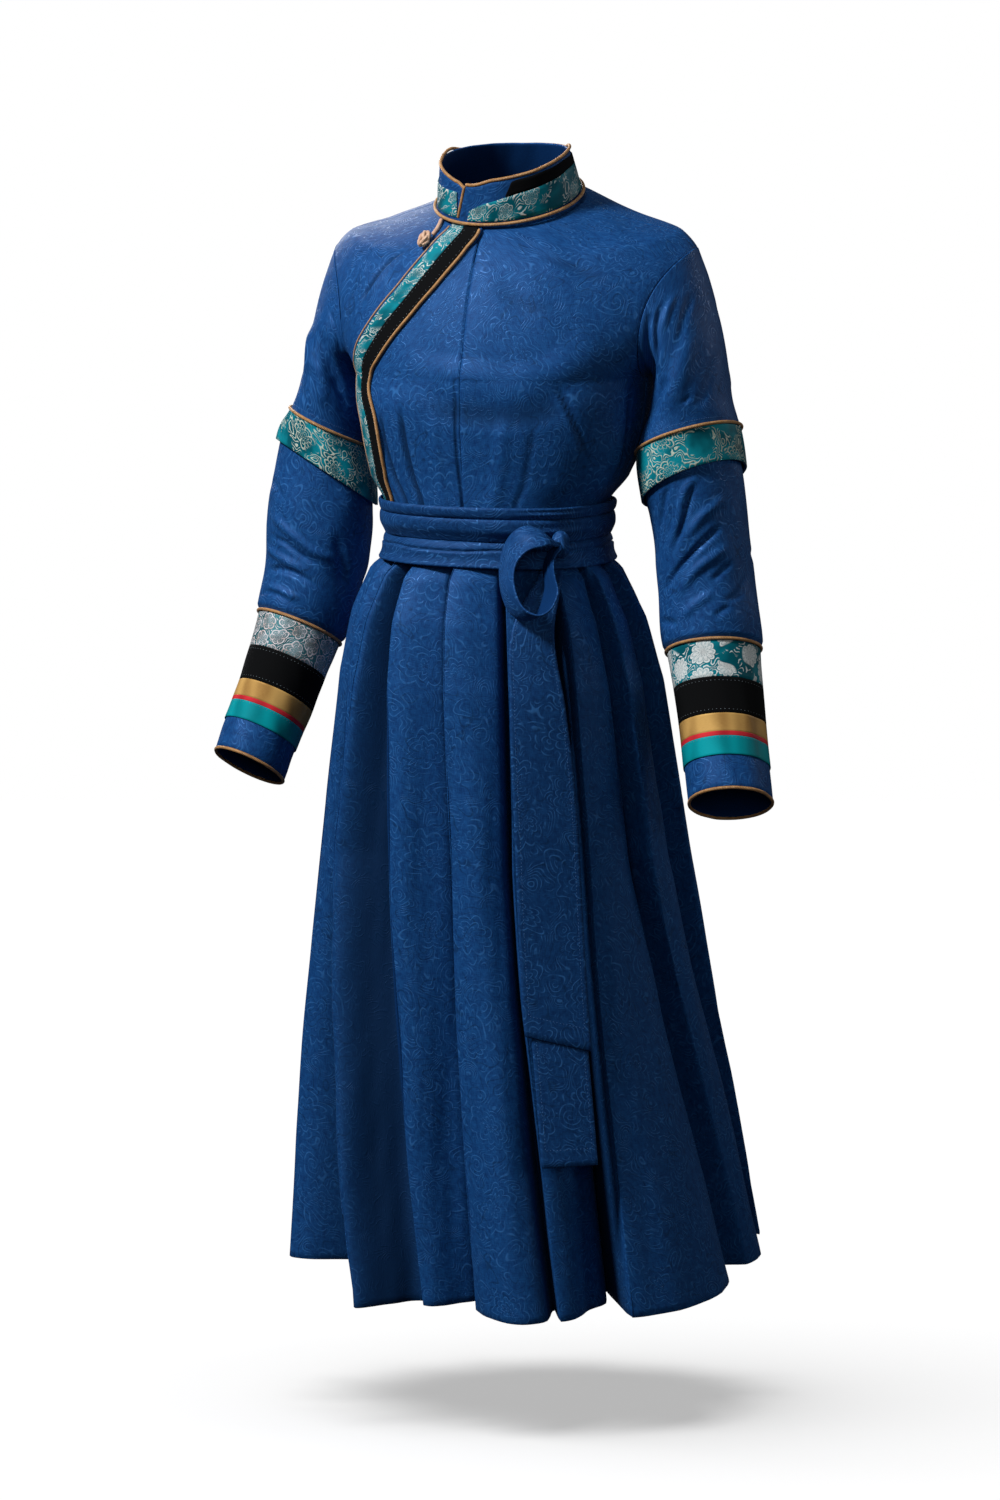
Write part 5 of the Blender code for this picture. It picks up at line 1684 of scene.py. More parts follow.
BODY_CREASES = rows_of(
    Crease,
    # By the closure, above the bust.
    (((-50, 1.31), (-47, 1.42), (-45, 1.54), (-41, 1.66)), 4.5, -3.8, 1.8),
    (((-57, 1.20), (-56, 1.32), (-52, 1.44)), 3.5, -1.4, 0.8),
    # Under the bust and the gathers down to the sash.
    (((-24, 1.10), (-10, 1.06), (4, 1.02), (18, 0.99), (32, 1.06), (42, 1.14), (50, 1.24)), 24, 3.6),
    (((-18, 0.84), (0, 0.80), (17, 0.78), (32, 0.82), (44, 0.90)), 20, -2.4),
    (((33, 1.02), (44, 0.76), (56, 0.46)), 4.4, -2.8, 0.8),
    (((-35, 0.80), (-34, 0.50), (-32, 0.16)), 4.8, -4.4, 0.9, (False, True)),
    (((-23, 0.86), (-22, 0.52), (-20, 0.16)), 4.8, -4.0, 0.9, (False, True)),
    (((-1, 1.16), (-1, 0.60), (0, 0.16)), 2.6, -2.4, 0.0, (False, True)),
    (((-9, 0.86), (-8, 0.50), (-7, 0.18)), 8, 1.4, 0.0, (False, True)),
    (((15, 0.84), (14, 0.50), (13, 0.18)), 12, 1.8, 0.0, (False, True)),
    (((27, 0.80), (26, 0.50), (25, 0.20)), 5.0, -1.6, 0.0, (False, True)),
    # Across the chest and the shoulder.
    (((8, 1.52), (22, 1.40), (38, 1.34)), 12, -1.0),
    (((30, 1.66), (44, 1.52), (54, 1.40)), 9, -1.2, 0.6),
    # At the sides and the back.
    (((74, 0.96), (78, 0.66), (82, 0.34)), 6, -1.8, 0.8),
    (((-76, 0.90), (-80, 0.60), (-84, 0.30)), 6, -1.8, 0.8),
    (((118, 1.30), (128, 1.10), (136, 0.84)), 8, -2.2, 1.0),
    (((236, 1.34), (228, 1.12), (222, 0.90)), 7, -2.0, 1.0),
    (((150, 0.72), (152, 0.48), (155, 0.22)), 5, -2.2, 0.6, (False, True)),
    (((166, 0.60), (167, 0.40), (170, 0.20)), 6, -1.6, 0.5, (False, True)),
    (((196, 0.66), (194, 0.44), (192, 0.20)), 5, -2.0, 0.6, (False, True)),
    (((212, 0.74), (209, 0.50), (206, 0.22)), 6, -1.8, 0.5, (False, True)),
    (((160, 1.58), (176, 1.50), (196, 1.56)), 9, -1.2),
)


@dataclass
class Bodice:
    """The bodice, with its rows from the waist up: side seam, armhole and shoulder seam."""

    form: BodyForm = field(default_factory=BodyForm)
    closure: tuple[ClosurePoint, ...] = rows_of(
        ClosurePoint,
        (2.00, -30.5), (1.88, -27.5), (1.77, -27.5), (1.64, -28.2), (1.47, -33.0),
        (1.31, -39.8), (1.18, -46.8), (1.07, -54.5), (0.95, -61.5), (0.85, -60.0),
        (0.75, -57.0), (0.62, -55.0), (0.50, -56.0), (0.38, -60.0), (0.22, -67.0),
        (0.00, -74.0),
    )
    walk_levels: tuple[float, ...] = (0.0, 0.22, 0.45, 0.66, 0.84, *np.linspace(1, 1.9, 10), 2.0)
    low_rows: int = 46
    hole_rows: int = 44
    high_rows: int = 30
    columns: int = 80
    fan_columns: int = 62
    trim_columns: int = 22
    brocade: tuple[float, float] = (0.0020, 0.0195)  # distances of the ribbons' edges from the closure's edge
    black: tuple[float, float] = (0.0195, 0.0385)
    trims_end: float = 0.0430
    lap: float = 0.0019  # lift of the overlap over the under front
    piping_levels: tuple[float, float] = (0.2, 1.94)
    hole_fade: float = 0.010  # creases fade out this close to the armhole
    waves: float = 0.0007
    seam_depth: float = 0.0009
    seam_reach: float = 0.0028
    deep_crease: float = 0.0036  # a crease of this depth gets the most painted shade inside
    painted_shade: float = 0.85  # the painted shade there
    neck_fade: float = 0.16  # levels over which creases fade out towards the neck
    edge_packing: float = 0.75  # how much closer the columns lie at a panel's sides
    fan_power: float = 1.3

    def __post_init__(self) -> None:
        """Sets the creases and the armholes' outlines."""
        self.folds = Folds(self.form.point, BODY_CREASES)
        turns = np.linspace(0, 2 * math.pi, 90, endpoint=False)
        holes = [self.form.point(*self.form.armhole(side, turns)) for side in (1, -1)]
        self.holes = np.concatenate(holes)

    @property
    def levels(self) -> Array:
        """Levels of the rows on a vertical line."""
        low = np.linspace(0, 1, self.low_rows, endpoint=False)
        return np.concatenate([low, np.linspace(1, 2, self.hole_rows + 1 + self.high_rows)])

    def side_edge(self, side: int, turns: Array) -> Array:
        """Side seam, armhole and shoulder seam from the waist up.

        Args:
            side: 1 for the wearer's left, -1 for the right.
            turns: Of the armhole's rows, from below.

        Returns:
            Angles and levels, row by row.
        """
        seam = side * math.pi / 2
        low = [(seam, level) for level in self.levels[: self.low_rows]]
        hole = np.stack(self.form.armhole(side, turns), -1)
        high = np.linspace(self.form.tip_level, 2, self.high_rows + 1)[1:]
        return np.concatenate([low, hole, [(seam, level) for level in high]])

    def centre_edge(self, angle: float) -> Array:
        """A vertical line, with a row for each row of the side edges."""
        return np.stack([np.full_like(self.levels, angle), self.levels], -1)

    def trims(self, distances: Array) -> Array:
        """Columns beside the overlap's edge, walked at a few rows and read smoothly.

        Args:
            distances: Of the columns, from the edge.

        Returns:
            Angles and levels, rows x columns.
        """
        level = np.array(self.walk_levels)
        angle = np.radians(smooth_at(self.closure, level).degrees)
        along = unit(np.gradient(self.form.point(angle, level), axis=0))
        across = unit(np.cross(along, self.form.normal(angle, level)))
        columns = []
        for distance in distances:
            walked = np.stack([level, *self.form.walk(angle, level, across, distance)], -1)
            read = smooth_at([TrimPoint(*row) for row in walked[::-1]], self.levels)
            columns.append(np.stack([np.minimum(read.angle, -0.006), read.level], -1))
        return np.stack(columns, 1)

    def drape(self, base: Array, level: Array) -> Array:
        """How far the creases and slow waves move the cloth out.

        Args:
            base: Points of the form, rows x columns.
            level: Their levels.

        Returns:
            Distances.
        """
        gap = np.stack([np.linalg.norm(row[:, None] - self.holes, axis=-1).min(1) for row in base])
        calm = ease(gap / self.hole_fade) * ease((2 - level) / self.neck_fade)
        waves = ripple(base[..., 0] / 0.11 + base[..., 1] / 0.17, base[..., 2] / 0.13, 1.7)
        return calm * (self.folds.lift(base) + self.waves * waves)

    def laid(self, grid: Array, lift: Any = 0.0) -> tuple[Array, Array]:
        """Lays cloth on the form.

        Args:
            grid: Angles and levels, rows x columns.
            lift: How far it lies outside the form.

        Returns:
            Points of the draped cloth, and the form's normals there.
        """
        angle, level = np.moveaxis(grid, -1, 0)
        base, normal = self.form.point(angle, level), self.form.normal(angle, level)
        return base + normal * (lift + self.drape(base, level))[..., None], normal

    def panel(
        self,
        name: str,
        grid: Array,
        lift: Any = 0.0,
        sides: tuple[bool, bool] = (True, True),
        trims: Sequence[Any] = (),
    ) -> None:
        """Sews one panel of the bodice.

        Args:
            name: The piece's name.
            grid: Angles and levels of its points.
            lift: How far it lies outside the form.
            sides: Whether its first and last columns are seams.
            trims: Pieces that are sewn onto it.
        """
        points, normal = self.laid(grid, lift)
        points = drawn_in(points, normal, sides, self.seam_depth, self.seam_reach)
        # shade painted into the cloth's colour in the creases' troughs
        sunk = -self.folds.lift(self.form.point(*np.moveaxis(grid, -1, 0)))
        folded = self.painted_shade * np.clip(sunk / self.deep_crease, 0, 1)
        ROBE_CLOTH.sew(name, Grid(points, normal, grain=points.shape[1] // 2, folded=folded), trims=trims)

    def build(self) -> None:
        """Makes the back and the three fronts."""
        in_front = np.linspace(math.pi, 0, self.hole_rows + 1)
        behind = np.linspace(math.pi, 2 * math.pi, self.hole_rows + 1)
        shares = dense_shares(self.columns, self.edge_packing)
        back_left, back_right = self.side_edge(1, behind), self.side_edge(-1, behind) + (2 * math.pi, 0)
        middle = self.centre_edge(math.pi)
        halves = between(back_left, middle, shares), between(middle, back_right, shares)[:, 1:]
        self.panel("bodice_back", np.concatenate(halves, 1))
        grid = between(self.centre_edge(0.0), self.side_edge(1, in_front), shares)
        self.panel("bodice_front_left", grid)
        pipings = self.build_closure()
        near = self.trims(np.linspace(0, self.trims_end, self.trim_columns))
        fan_shares = 1 - (1 - np.linspace(0, 1, self.fan_columns + 1)) ** self.fan_power
        fan = between(near[:, -1], self.centre_edge(0.0), fan_shares)[:, 1:]
        lift = self.lap * np.concatenate([np.ones(near.shape[1]), 1 - fan_shares[1:]])
        overlap = np.concatenate([near, fan], 1)
        self.panel("bodice_front_overlap", overlap, lift, (False, True), pipings)
        side = between(self.side_edge(-1, in_front), near[:, 0], shares)
        under = self.trims(np.linspace(0, self.black[1], self.trim_columns)[1:])
        self.panel("bodice_front_under", np.concatenate([side, under], 1), 0.0, (True, False))

    def build_closure(self) -> list[bpy.types.Object]:
        """Makes the ribbons and pipings along the overlap's edge.

        Returns:
            The pipings and the stitches.
        """
        copies = []
        stitcher = Stitcher(CLOSURE_STITCH)
        seen = (self.levels > self.piping_levels[0]) & (self.levels < self.piping_levels[1])
        for name, edges, stuff in (
            ("brocade", self.brocade, Stuff.CLOSURE),
            ("black", self.black, Stuff.BLACK),
        ):
            grid = self.trims(np.linspace(*edges, 13))
            points, normal = self.laid(grid, self.lap + SEAM + RIBBON)
            points = drawn_in(points, normal, (True, True), 0.0003, 0.0012)
            ribbon(stuff).sew(f"closure_{name}", Grid(points, normal), ["bodice_front_overlap"])
            if name == "black":
                for column in (2, 10):
                    copies += stitcher.line(points[seen, column], normal[seen, column])
        made = [stitcher.sewn("closure_stitches", copies, Stuff.PALE_THREAD)]
        for name, distance, radius, stuff in (
            ("edge", 0.0, FINE_PIPING, Stuff.FINE_PIPING),
            ("inner", self.black[1], PIPING, Stuff.PIPING),
        ):
            points, normal = self.laid(self.trims(np.array([distance, distance + MM])), self.lap)
            across = unit(points[:, 1] - points[:, 0])
            out = normal[:, 0]
            if name == "edge":
                path = points[:, 0] - across * (radius + SEAM) - out * (CLOTH - radius)
            else:
                path = points[:, 0] + out * (SEAM + radius) + across * (radius + SEAM)
            made.append(dress(tube(f"closure_{name}_piping", path[seen], radius, out[seen]), stuff))
        return made


def between(left: Array, right: Array, shares: Array) -> Array:
    """Angles and levels from one edge to another, a column per share."""
    return left[:, None] + (right - left)[:, None] * shares[None, :, None]


# ---- Collar ----
class CollarRibbons(NamedTuple):
    """Upper edges of the collar's brocade and black ribbons at an angle."""

    degrees: float
    brocade_top: float
    black_top: float


@dataclass(frozen=True)
class Collar:
    """The stand collar, whose inner end runs under its outer one, with its ribbons and pipings."""

    neck: Neck = Neck()
    top_radius: float = 0.0675
    height: float = 0.044
    notch: float = 0.006
    back_drop: float = 0.0085
    drop_power: int = 3
    side_rise: float = 0.0035
    lean: float = math.radians(11)
    lean_span: float = math.radians(60)
    front_end: float = math.radians(-25)
    hidden_end: float = math.radians(372)
    tuck: float = math.radians(75)
    tuck_span: float = math.radians(41.25)
    dip_span: float = math.radians(34)
    back_dip_span: float = math.radians(38)
    hidden_dip: tuple[float, float] = (math.radians(40), math.radians(12))
    lap_gap: float = 0.0012
    foot: float = 0.0005
    base_rise: float = 0.0052
    piping_end: float = math.radians(345)
    ribbon_arc: tuple[float, float] = (math.radians(-17), math.radians(333))
    piping_out: tuple[float, float] = (math.radians(107), math.radians(256))
    piping_down: tuple[float, float] = (math.radians(124), math.radians(239))
    piping_turn: float = math.radians(16)
    ribbon_foot: float = 0.0075
    ribbons: tuple[CollarRibbons, ...] = rows_of(
        CollarRibbons,
        (-17, 0.0160, 0.0160), (-8, 0.0215, 0.0215), (0, 0.0245, 0.0245),
        (18, 0.0285, 0.0285), (26, 0.0300, 0.0425), (31, 0.0310, 0.0438),
        (52, 0.0330, 0.0450), (88, 0.0350, 0.0450), (120, 0.0320, 0.0395),
        (140, 0.0300, 0.0350), (180, 0.0260, 0.0303), (225, 0.0280, 0.0358),
        (250, 0.0290, 0.0390), (285, 0.0310, 0.0310), (333, 0.0315, 0.0315),
    )
    columns: int = 260
    rows: int = 16
    ribbon_rows: tuple[int, int] = (8, 6)
    waves: float = 0.0005

    def point(self, angle: Any, height: Any, out: float = 0.0) -> Array:
        """The collar's outer face.

        Args:
            angle: Round the neck.
            height: Above the ring.
            out: How far the points are moved out.

        Returns:
            Points.
        """
        angle, height = paired(angle, height)
        lean = self.lean * height / self.height * (1 - ease((angle - self.front_end) / self.lean_span))
        cone = self.neck.radius + (self.top_radius - self.neck.radius) * height / self.height
        tuck = ease((angle - (self.hidden_end - self.tuck)) / self.tuck_span)
        slack = self.waves * ripple(angle * 1.1, height / 0.09, 0.4) * ease(height / 0.02)
        radius = cone - tuck * (COLLAR_CLOTH + self.lap_gap) + out + slack
        return self.neck.point(angle + lean, radius, height)

    def top(self, angle: Any) -> Array:
        """The top edge, which dips towards both ends; the hidden end lies lower still.

        Args:
            angle: Round the neck.

        Returns:
            Heights above the ring.
        """
        front = 1 - ease((angle - self.front_end) / self.dip_span)
        back = ease((angle - (self.hidden_end - self.tuck)) / self.back_dip_span)
        hidden = ease((angle - (self.hidden_end - self.hidden_dip[0])) / self.hidden_dip[1])
        drop = self.back_drop * ((1 - np.cos(angle)) / 2) ** self.drop_power
        rise = self.side_rise * np.sin(angle) ** 2
        return self.height + rise - drop - self.notch * (front + back + hidden)

    def face(self, angles: Array, low: Array, high: Array, out: float, rows: int) -> Grid:
        """A band of the collar.

        Args:
            angles: Of its columns.
            low: Height of its lower edge.
            high: And of its upper edge.
            out: How far it is moved out.
            rows: How many rows it has.

        Returns:
            Its outer face.
        """
        shares = np.linspace(1, 0, rows)[:, None]
        points = self.point(angles, low + (high - low) * shares, out)
        return Grid(points, points - self.neck.point(angles, 0.0, 0.02))

    def build(self) -> None:
        """Makes the collar."""
        trims = self.build_pipings()
        angles = np.linspace(self.front_end, self.hidden_end, self.columns + 1)
        foot = np.full_like(angles, self.foot)
        collar = Make(Stuff.CLOTH, Stuff.REVERSE, COLLAR_CLOTH, "laid")
        grid = self.face(angles, foot, self.top(angles), 0.0, self.rows)
        collar.sew("collar", grid, ["bodice_back"], trims)
        spots = angles[(angles > self.ribbon_arc[0]) & (angles < self.ribbon_arc[1])]
        edges = CollarRibbons(*np.array(self.ribbons).T)
        brocade = np.interp(np.degrees(spots), edges.degrees, edges.brocade_top)
        black = np.interp(np.degrees(spots), edges.degrees, edges.black_top)
        foot = np.full_like(spots, self.ribbon_foot)
        grid = self.face(spots, foot, brocade, SEAM + RIBBON, self.ribbon_rows[0])
        ribbon(Stuff.COLLAR).sew("collar_brocade", grid, ["collar"])
        wide = black - brocade > 0.7 * RIBBON
        low, high = brocade[wide] + SEAM, black[wide]
        grid = self.face(spots[wide], low, high, SEAM + RIBBON, self.ribbon_rows[1])
        ribbon(Stuff.BLACK).sew("collar_black", grid, ["collar"])

    def build_pipings(self) -> list[bpy.types.Object]:
        """Makes the pipings at the collar's foot, top and front edge.

        Returns:
            The pipings.
        """
        radius = PIPING
        base = np.linspace(0, 2 * math.pi, self.columns, endpoint=False) + self.front_end
        path = self.neck.point(base, self.neck.radius + radius + 2 * SEAM, self.base_rise)
        outward = path - self.neck.point(base, 0.0, self.base_rise)
        made = [tube("collar_base_piping", path, radius, outward, ring=True)]
        seen = np.linspace(self.front_end, self.piping_end, self.columns)
        out, down = (
            ease((seen - start) / self.piping_turn) * (1 - ease((seen - end) / self.piping_turn))
            for start, end in (self.piping_out, self.piping_down)
        )
        height = self.top(seen) + (SEAM + radius) * (1 - 2 * down)
        path = self.point(seen, height, (SEAM + radius) * out - COLLAR_CLOTH / 2 * (1 - out))
        outward = path - self.neck.point(seen, 0.0, self.top(seen))
        made.append(tube("collar_top_piping", path, radius, outward))
        end = self.front_end - (radius + SEAM) / self.neck.radius
        drop = np.linspace(self.top(self.front_end) - SEAM, self.base_rise + 2.2 * radius, 24)
        path = self.point(end, drop, -SEAM)
        outward = path - self.neck.point(np.full_like(drop, end), 0.0, drop)
        made.append(tube("collar_front_piping", path, radius, outward))
        return [dress(piece, Stuff.PIPING) for piece in made]


# ---- Sleeves ----
class CuffBand(NamedTuple):
    """A ribbon round the cuff, and its share of the cuff's length."""

    name: str
    share: float


def closed_row(rings: Array, row: int) -> Array:
    """A ring's points or vectors, with the first again at the end."""
    return np.concatenate([rings[row], rings[row][:1]])


@dataclass
class Sleeve:
    """A sleeve: an over sleeve with a brocade band, and an under sleeve with a ribboned cuff."""

    word: str
    arm: ArmForm
    over_creases: tuple[Crease, ...]
    under_creases: tuple[Crease, ...]
    cuff_brocade: Stuff
    seed: float
    band: tuple[float, float] = (3.05, 4.05)
    under_start: float = 2.80
    cuff: tuple[float, float] = (6.80, 9.0)
    bands: tuple[CuffBand, ...] = rows_of(
        CuffBand,
        ("brocade", 0.250), ("black", 0.250), ("gold", 0.125),
        ("red", 0.030), ("teal", 0.130), ("plain", 0.215),
    )
    ease: float = 0.0040  # how far the under sleeve lies inside the over sleeve
    ease_end: float = 5.25
    columns: int = 132
    under_rows: int = 128
    waves: float = 0.0009
    cuff_waves: float = 0.0005
    puff: float = 0.0042  # how far the under sleeve swells over its cuff
    puff_start: float = 5.6
    puff_span: float = 0.9
    puff_edge: float = 0.16  # stations before the cuff where the swelling starts to end
    puff_fall: float = 0.14
    hole_fade: float = 0.32  # stations over which creases fade out towards the armhole
    band_calm: float = 0.8  # how much flatter the over sleeve lies at its band

    def __post_init__(self) -> None:
        """Sets the creases."""
        self.over_folds = Folds(self.arm.point, self.over_creases)
        self.under_folds = Folds(self.arm.tube, self.under_creases)

    @property
    def turns(self) -> Array:
        """Turns of the columns, from the inside of the arm, where its seam runs."""
        return math.pi + self.arm.side * round_turns(self.columns)

    def rings(self, surface: Surface, stations: Array) -> tuple[Array, Array]:
        """Points and outward normals of rings of the arm, rows x columns."""
        turns, stations = np.meshgrid(self.turns, stations)
        return surface(turns, stations), normals_of(surface, turns, stations) * self.arm.side

    def over(self, stations: Array, out: float = 0.0) -> tuple[Array, Array]:
        """The draped over sleeve.

        Args:
            stations: Of its rings.
            out: How far it is moved out.

        Returns:
            Points, rows x columns, and their normals.
        """
        points, normal = self.rings(self.arm.point, stations)
        at = stations[:, None]
        calm = ease(at / self.hole_fade) * (1 - self.band_calm * ease((at - self.band[0] + 0.5) / 0.5))
        waves = self.waves * ripple(points[..., 1] / 0.12, points[..., 2] / 0.10, self.seed)
        lift = calm * (self.over_folds.lift(points) + waves)
        return points + normal * (lift + out)[..., None], normal

    def under(self, stations: Array, out: float = 0.0) -> tuple[Array, Array]:
        """The draped under sleeve.

        Args:
            stations: Of its rings.
            out: How far it is moved out.

        Returns:
            Points, rows x columns, and their normals.
        """
        points, normal = self.rings(self.arm.tube, stations)
        at = stations[:, None]
        tucked = np.interp(at, (self.band[1], self.ease_end), (self.ease, 0.0))
        calm = ease((at - self.band[1] - 0.02) / 0.25) * (1 - ease((at - self.cuff[0] + 0.45) / 0.4))
        x, y, z = np.moveaxis(points, -1, 0)
        waves = self.waves * ripple(x / 0.11 + y / 0.10, z / 0.08, self.seed)
        cuff_waves = self.cuff_waves * ripple(x / 0.07 + y / 0.06, z / 0.3, self.seed)
        cuff_waves = cuff_waves * ease((at - self.cuff[0]) / 0.5)
        puff_end = ease((at - self.cuff[0] + self.puff_edge) / self.puff_fall)
        puff = self.puff * ease((at - self.puff_start) / self.puff_span) * (1 - puff_end)
        lift = calm * (self.under_folds.lift(points) + waves) - tucked + cuff_waves + puff
        return points + normal * (lift + out)[..., None], normal

    def cuff_stations(self) -> Array:
        """Divides the cuff by its ribbons' shares, along the middle of the arm.

        Returns:
            Stations of the ribbons' edges.
        """
        spots = np.linspace(*self.cuff, 60)
        length = lengths_along(self.arm.centre(spots))
        shares = np.concatenate([[0], np.cumsum([band.share for band in self.bands])])
        return np.interp(shares * length[-1], length, spots)

    def rim_piping(self, name: str, rings: tuple[Array, Array], out: float) -> bpy.types.Object:
        """Makes a piping just past the first of two rings, on the side away from the second.

        Args:
            name: The piping's name.
            rings: Points and normals of both rings.
            out: How far it stands out.

        Returns:
            The piping.
        """
        points, normal = rings
        path = points[0] + normal[0] * out + unit(points[0] - points[1]) * (PIPING + SEAM)
        return dress(tube(name, path, PIPING, normal[0], ring=True), Stuff.PIPING)

    def build(self) -> None:
        """Makes the sleeve."""
        word = self.word
        start, end = self.band
        stitcher = Stitcher(SLEEVE_STITCH)
        points, normal = self.over(np.array([self.under_start]), 0.1 * MM)
        path, out = closed_row(points, 0), closed_row(normal, 0)
        thread = stitcher.sewn(f"sleeve_{word}_stitches", stitcher.line(path, out), Stuff.THREAD)
        rim = np.array([start, start + 0.05])
        piping = self.rim_piping(f"sleeve_{word}_band_piping", self.over(rim), SEAM + PIPING)
        stations = np.concatenate([np.linspace(0, 1.2, 50) ** 1.2 / 1.2**0.2, np.linspace(1.2, end, 62)[1:]])
        points, normal = self.over(stations)
        hem = "bodice_front_left" if self.arm.side > 0 else "bodice_front_under"
        ROBE_CLOTH.sew(f"sleeve_{word}_over", Grid(points, normal, ring=True), [hem], [thread, piping])
        points, normal = self.over(np.linspace(start, end, 22), SEAM + RIBBON)
        grid = Grid(points, normal, ring=True)
        ribbon(Stuff.BAND).sew(f"sleeve_{word}_band", grid, [f"sleeve_{word}_over"])

        edges = self.cuff_stations()
        upper = np.linspace(self.under_start, self.cuff[0], self.under_rows)
        stations = np.concatenate([upper, np.linspace(*self.cuff, 44)[1:]])
        upper_rim = self.under(edges[0] + np.array([0, 0.05]))
        lower_rim = self.under(edges[-1] - np.array([0, 0.05]))
        trims = [
            self.rim_piping(f"cuff_{word}_piping", upper_rim, SEAM + PIPING),
            self.rim_piping(f"cuff_{word}_end_piping", lower_rim, -CLOTH / 2),
            self.build_ribbons(edges),
        ]
        points, normal = self.under(stations)
        grid = Grid(points, normal, ring=True)
        ROBE_CLOTH.sew(f"sleeve_{word}_under", grid, [f"sleeve_{word}_over"], trims)

    def build_ribbons(self, edges: Array) -> bpy.types.Object:
        """Makes the cuff's ribbons, the narrow red one beside the gold one among them.

        Args:
            edges: Stations of their edges.

        Returns:
            Their stitches.
        """
        finishes = {
            "brocade": self.cuff_brocade,
            "black": Stuff.BLACK,
            "gold": Stuff.GOLD,
            "red": Stuff.RED,
            "teal": Stuff.TEAL,
        }
        grids = {}
        for band, start, end in zip(self.bands[:-1], edges, edges[1:]):
            rows = 5 if band.name == "red" else 12
            gap = (end - start) * 0.012
            points, normal = self.under(np.linspace(start + gap, end - gap, rows), SEAM + RIBBON)
            grids[band.name] = Grid(points, normal, ring=True)
        stitcher = Stitcher(CUFF_STITCH)
        copies = []
        for row in (1, -2):
            for grid in (grids["black"], grids["teal"]) if row > 0 else (grids["black"],):
                path, out = closed_row(grid.points, row), closed_row(grid.normals(), row)
                copies += stitcher.line(path, out)
        thread = stitcher.sewn(f"cuff_{self.word}_stitches", copies, Stuff.PALE_THREAD)
        red = dress(shell(f"cuff_{self.word}_red", grids["red"], RIBBON), Stuff.RED, Stuff.BACKING)
        for name, finish in finishes.items():
            if name != "red":
                trims = [red] if name == "gold" else []
                resting = [f"sleeve_{self.word}_under"]
                ribbon(finish).sew(f"cuff_{self.word}_{name}", grids[name], resting, trims)
        return thread


# The creases that both arms have on the sides turned inwards and to the back.
OVER_BACK = (
    (((-30, 1.50), (-70, 2.10), (-105, 2.70)), 10, 2.4),
    (((196, 1.10), (215, 1.60), (230, 2.20)), 8, -2.4),
)
UNDER_BACK = (
    (((210, 4.90), (238, 5.10), (270, 5.06)), 8, -2.4),
    (((200, 5.50), (236, 5.60), (276, 5.46)), 7, -2.6),
    (((206, 5.30), (240, 5.36), (282, 5.28)), 7, 2.4),
    (((216, 6.10), (250, 6.02), (290, 6.14)), 7, -2.2),
    (((300, 5.20), (330, 5.30), (356, 5.24)), 8, -1.8),
)
RIGHT_OVER_CREASES = rows_of(
    Crease,
    (((65, 0.34), (105, 0.34), (128, 0.66)), 3.4, -1.8),
    (((74, 0.66), (94, 0.98), (112, 1.32), (133, 2.12)), 10, -3.6),
    (((116, 1.50), (130, 1.90), (141, 2.30)), 8, -2.6),
    (((33, 0.90), (56, 1.30), (77, 1.80)), 17, 3.2),
    (((84, 1.30), (98, 1.80), (108, 2.50)), 9, 2.0),
    (((18, 1.60), (50, 2.10), (82, 2.60)), 7, -1.4),
    (((-20, 0.60), (-50, 1.10), (-80, 1.80)), 11, -2.8),
    (((-60, 0.50), (-90, 1.00), (-120, 1.70)), 9, -2.6),
    *OVER_BACK,
)
LEFT_OVER_CREASES = rows_of(
    Crease,
    (((83, 0.16), (104, 0.36), (126, 0.84), (147, 1.55)), 7.0, -5.0, 0.0, (True, False)),
    (((70, 0.16), (84, 0.24), (96, 0.44), (112, 0.86)), 5.0, 2.0),
    (((57, 0.20), (76, 0.34), (91, 0.56), (104, 0.98)), 5.0, -2.8),
    (((44, 0.27), (62, 0.38), (78, 0.56)), 4.5, 1.8),
    (((24, 0.40), (48, 0.62), (70, 1.00)), 7.0, -1.8),
    (((41, 0.80), (58, 1.10), (73, 1.44), (92, 1.90), (112, 2.45)), 15, 3.4),
    (((62, 1.98), (68, 2.10), (76, 2.20)), 4.0, -1.4),
    (((96, 1.40), (112, 1.80), (128, 2.40)), 8, -2.8),
    (((8, 1.20), (36, 1.80), (60, 2.50)), 9, -1.6),
    (((-20, 0.60), (-50, 1.10), (-80, 1.80)), 11, -2.6),
    (((-62, 0.50), (-92, 1.00), (-122, 1.70)), 9, -2.8),
    *OVER_BACK,
)
RIGHT_UNDER_CREASES = rows_of(
    Crease,
    (((45, 5.06), (66, 5.16), (88, 5.30), (114, 5.44), (151, 5.38)), 7.0, 2.8),
    (((50, 5.42), (76, 5.47), (97, 5.59), (124, 5.66)), 4.6, -2.8),
    (((33, 5.62), (58, 5.72), (81, 5.80), (119, 5.87)), 7.0, 3.0),
    (((48, 6.02), (76, 5.98), (97, 5.97), (131, 6.09)), 5.2, -3.2),
    (((50, 6.30), (86, 6.37), (112, 6.42)), 6.0, 2.4),
    (((33, 6.52), (66, 6.44), (103, 6.49)), 4.2, -1.8),
    (((128, 4.90), (146, 5.40), (158, 5.90)), 9, -3.2),
    (((20, 4.70), (46, 4.66), (76, 4.84)), 6.5, -1.8),
    *UNDER_BACK,
    (((304, 5.80), (334, 5.74), (362, 5.86)), 7, 1.8),
)
